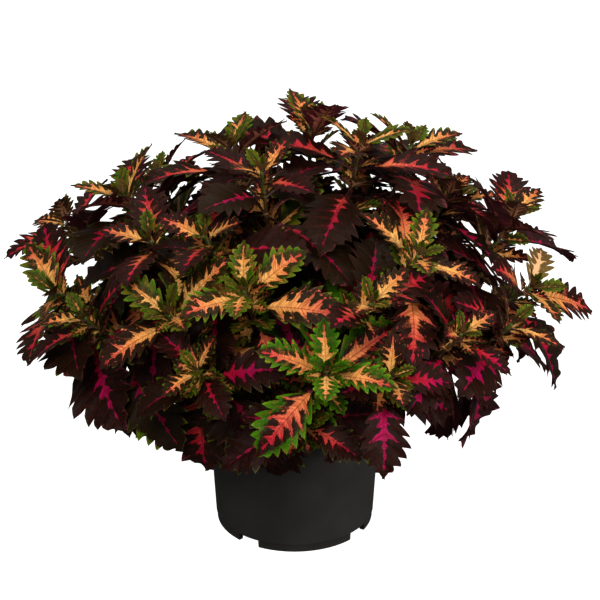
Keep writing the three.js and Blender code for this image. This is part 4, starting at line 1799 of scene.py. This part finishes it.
def new_material(name: str) -> tuple[bpy.types.Material, Wiring, bpy.types.Node]:
    """A new material.

    Args:
        name: Its name.

    Returns:
        The material, its wiring and its Principled shader.
    """
    made = bpy.data.materials.new(name)
    made.use_nodes = True
    return made, Wiring(made.node_tree), made.node_tree.nodes["Principled BSDF"]


@dataclass(frozen=True)
class LeafFinish:
    """The finish of a blade's upper or under face.

    Attributes:
        name: The material's name.
        under: Whether it is the under face.
        roughness: How rough it is in the middle of its range.
        sheen: How strong the sheen of its down is.
    """

    name: str
    under: bool
    roughness: float
    sheen: float
    shine: float = 0.1
    down_colour: str = "d8a0a0"
    down_roughness: float = 0.45
    wash: str = "7a3440"
    wash_share: float = 0.45
    fresh: str = "6a5c28"
    young_splash: str = "e0b284"
    old_splash: str = "d8917a"
    grain_shadow: str = "9a9a9a"

    def material(self, grain: bpy.types.NodeTree, painting: bpy.types.NodeTree) -> bpy.types.Material:
        """Makes the material.

        Args:
            grain: The group of the grain.
            painting: The group that paints a blade.

        Returns:
            The material.
        """
        made, w, shader = new_material(self.name)
        sheet = w.node("ShaderNodeUVMap", uv_map="leaf")
        u, v, _ = w.parts(Signal(w, sheet.outputs[0]))
        marks = {word.title(): w.mark(word) for word in MARKS}
        colour, splash, height = w.group(painting, U=u, V=(v - 0.5) * SHEET_WIDTH, **marks)
        if self.under:
            colour = self.washed(w, colour, splash)
        fine = w.grain(grain, 900.0, 2.0, 0.6)
        shadow = w.blend(1.0, colour, paint(self.grain_shadow), "MULTIPLY")
        w.feed(shader.inputs["Base Color"], w.blend(w.step(fine, 0.35, 0.7) * 0.25, colour, shadow))
        w.feed(shader.inputs["Roughness"], self.roughness - 0.08 + fine * 0.16)
        shader.inputs["Specular IOR Level"].default_value = self.shine
        shader.inputs["Sheen Weight"].default_value = self.sheen
        shader.inputs["Sheen Roughness"].default_value = self.down_roughness
        shader.inputs["Sheen Tint"].default_value = paint(self.down_colour)
        w.feed(shader.inputs["Normal"], w.bump(height + fine * 0.3, 0.8, 0.5))
        return made

    def washed(self, w: Wiring, colour: Signal, splash: Signal) -> Signal:
        """A blade's colour as its under face shows it.

        Args:
            w: The material's wiring.
            colour: The colour of the upper face.
            splash: Where the splash is.

        Returns:
            The paler colour.
        """
        fresh = w.step(w.mark("age"), 0.2, 0.5, 1.0, 0.0)
        colour = w.blend(self.wash_share, colour, paint(self.wash))
        colour = w.blend(fresh * 0.6, colour, paint(self.fresh))
        pale = w.blend(fresh, paint(self.old_splash), paint(self.young_splash))
        return w.blend(splash * w.step(fresh, 0.0, 1.0, 0.5, 0.9), colour, pale)


@dataclass(frozen=True)
class StemFinish:
    """The finish of stems, petioles and the midribs under the blades."""

    name: str = "square_stem"
    roughness: float = 0.5
    ages: Stops = ((0.0, "4a5a1c"), (0.25, "5e4426"), (0.5, "552521"), (0.8, "3a1417"), (1.0, "24100e"))
    streaks: str = "3a1614"

    def material(self, grain: bpy.types.NodeTree) -> bpy.types.Material:
        """Makes the material.

        Args:
            grain: The group of the grain.

        Returns:
            The material.
        """
        made, w, shader = new_material(self.name)
        colour = w.ramp(w.mark("age") + (w.mark("chance") - 0.5) * 0.3, self.ages)
        streaks = w.grain(grain, 700.0, 3.0, 0.6, stretch=0.25)
        colour = w.blend(w.step(streaks, 0.4, 0.7, 0.0, 0.45), colour, paint(self.streaks))
        w.feed(shader.inputs["Base Color"], colour)
        w.feed(shader.inputs["Roughness"], self.roughness - 0.1 + streaks * 0.2)
        w.feed(shader.inputs["Normal"], w.bump(streaks, 0.4, 0.3))
        return made


@dataclass(frozen=True)
class PlasticFinish:
    """The charcoal plastic of the pot: a fine moulded grain, dulled in patches and lightly scuffed."""

    name: str = "charcoal_plastic"
    base: str = "2a2825"
    dulled: str = "363430"
    scuffed: str = "403e3c"
    roughness: float = 0.5
    shine: float = 0.4

    def material(self, grain: bpy.types.NodeTree) -> bpy.types.Material:
        """Makes the material.

        Args:
            grain: The group of the grain.

        Returns:
            The material.
        """
        made, w, shader = new_material(self.name)
        fine = w.grain(grain, 1800.0, 2.0, 0.5)
        cloud = w.grain(grain, 26.0, 4.0, 0.6)
        scuff = w.step(w.grain(grain, 420.0, 3.0, 0.7, stretch=0.12), 0.62, 0.8)
        colour = w.blend(w.step(cloud, 0.35, 0.75, 0.0, 0.6), paint(self.base), paint(self.dulled))
        w.feed(shader.inputs["Base Color"], w.blend(scuff * 0.3, colour, paint(self.scuffed)))
        w.feed(shader.inputs["Roughness"], self.roughness + (cloud - 0.5) * 0.16 + scuff * 0.12)
        shader.inputs["Specular IOR Level"].default_value = self.shine
        w.feed(shader.inputs["Normal"], w.bump(fine + scuff * 0.5, 0.25, 0.08))
        return made


@dataclass(frozen=True)
class PeatFinish:
    """Moist peat: dark crumbs, paler ones among them and a few grey grains."""

    name: str = "moist_peat"
    crumbs: Stops = ((0.25, "140b07"), (0.5, "2c1b12"), (0.68, "4a2f1e"), (0.9, "6b4a30"))
    grains: str = "9c948a"

    def material(self, grain: bpy.types.NodeTree) -> bpy.types.Material:
        """Makes the material.

        Args:
            grain: The group of the grain.

        Returns:
            The material.
        """
        made, w, shader = new_material(self.name)
        crumbs = w.grain(grain, 320.0, 5.0, 0.7)
        grains = w.step(w.dots(w.place(), 260.0), 0.1, 0.16, 1.0, 0.0)
        grains = grains * w.step(w.grain(grain, 90.0, 2.0, 0.5), 0.58, 0.62)
        colour = w.blend(grains, w.ramp(crumbs, self.crumbs), paint(self.grains))
        w.feed(shader.inputs["Base Color"], colour)
        w.feed(shader.inputs["Roughness"], w.step(crumbs, 0.3, 0.8, 0.75, 0.98))
        w.feed(shader.inputs["Normal"], w.bump(crumbs + grains * 0.3, 0.9, 1.2))
        return made


# ---------------------------------------------------------------- studio


@dataclass
class Studio:
    """A plain pale floor, soft light from all round and above, and the camera."""

    elevation: float = 25.3
    distance: float = 2000
    target: tuple[float, float, float] = (4.6, 0, 204)
    frame_pixels: float = 600
    focal_pixels: float = 2398
    sensor: float = 36
    floor_size: float = 60.0
    floor_glow: float = 0.93
    floor_colours: tuple[str, str] = ("6c6c6c", "707070")
    sky: float = 0.36

    def build(self) -> None:
        """Makes the floor, the lights and the camera."""
        self.add_floor()
        self.add_sky()
        self.add_light("key", (-0.6, -1.9, 2.1), 1.0, 50.0)
        self.add_light("fill", (2.0, -1.2, 0.9), 1.3, 36.0)
        self.add_light("top", (0.2, 0.7, 2.3), 1.2, 20.0)
        self.add_camera()

    def add_floor(self) -> None:
        """Makes the floor."""
        half = self.floor_size / 2
        corners = [(-half, -half, 0), (half, -half, 0), (half, half, 0), (-half, half, 0)]
        mesh = bpy.data.meshes.new("floor")
        mesh.from_pydata(corners, [], [(0, 1, 2, 3)])
        floor = bpy.data.objects.new("floor", mesh)
        bpy.context.scene.collection.objects.link(floor)
        made, w, shader = new_material("pale_floor")
        tint = w.blend(w.noise(w.place(), 3.0), *map(paint, self.floor_colours))
        w.feed(shader.inputs["Base Color"], tint)
        shader.inputs["Roughness"].default_value = 0.9
        shader.inputs["Emission Color"].default_value = (1, 1, 1, 1)
        w.feed(shader.inputs["Emission Strength"], w.seen() * self.floor_glow)
        mesh.materials.append(made)
        floor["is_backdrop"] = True

    def add_sky(self) -> None:
        """Makes the even pale surroundings."""
        world = bpy.data.worlds.new("studio")
        world.use_nodes = True
        sky = world.node_tree.nodes["Background"]
        sky.inputs["Color"].default_value = (1, 1, 1, 1)
        w = Wiring(world.node_tree)
        w.feed(sky.inputs["Strength"], w.reckon("MAXIMUM", w.seen(), self.sky))
        bpy.context.scene.world = world
        bpy.context.scene.view_settings.view_transform = "Standard"
        bpy.context.scene.view_settings.look = "Medium High Contrast"

    def add_light(self, name: str, place: tuple[float, float, float], size: float, power: float) -> None:
        """Adds a soft square light that faces the plant.

        Args:
            name: Its name.
            place: Where it stands, in metres.
            size: Its width in metres.
            power: Its power in watts.
        """
        lamp = bpy.data.lights.new(name, "AREA")
        lamp.size = size
        lamp.energy = power
        made = bpy.data.objects.new(name, lamp)
        made.location = place
        towards = Vector(self.target) * MM - Vector(place)
        made.rotation_euler = towards.to_track_quat("-Z", "Y").to_euler()
        bpy.context.scene.collection.objects.link(made)

    def add_camera(self) -> None:
        """Adds the camera, level with the front of the plant and looking down on it."""
        tilt = math.radians(self.elevation)
        ahead = Vector((0, math.cos(tilt), -math.sin(tilt)))
        lens = bpy.data.cameras.new("camera")
        lens.sensor_width = self.sensor
        lens.lens = self.focal_pixels / self.frame_pixels * self.sensor
        lens.clip_end = 100
        made = bpy.data.objects.new("camera", lens)
        made.location = (Vector(self.target) - ahead * self.distance) * MM
        made.rotation_euler = ahead.to_track_quat("-Z", "Y").to_euler()
        bpy.context.scene.collection.objects.link(made)
        bpy.context.scene.camera = made


def main() -> None:
    """Builds the studio, the pot, the peat and every leafy stem."""
    logging.basicConfig(level=logging.INFO, format="%(message)s")
    Studio().build()
    grain = new_grain()
    NurseryPot().build(PlasticFinish().material(grain))
    Peat().build(PeatFinish().material(grain))
    painting = LeafPainting().tree
    coats = (
        LeafFinish("leaf_upper", False, 0.5, 0.02).material(grain, painting),
        LeafFinish("leaf_under", True, 0.6, 0.08).material(grain, painting),
        StemFinish().material(grain),
    )
    for number, crown in enumerate(CROWNS):
        LeafyStem(number, crown).build(coats)
    boxes = {name: [list(corner) for corner in box] for name, box in (("cad", CAD_BOX), ("visual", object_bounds()))}
    LOG.info("boxes %s", boxes)


if __name__ == "__main__":
    main()
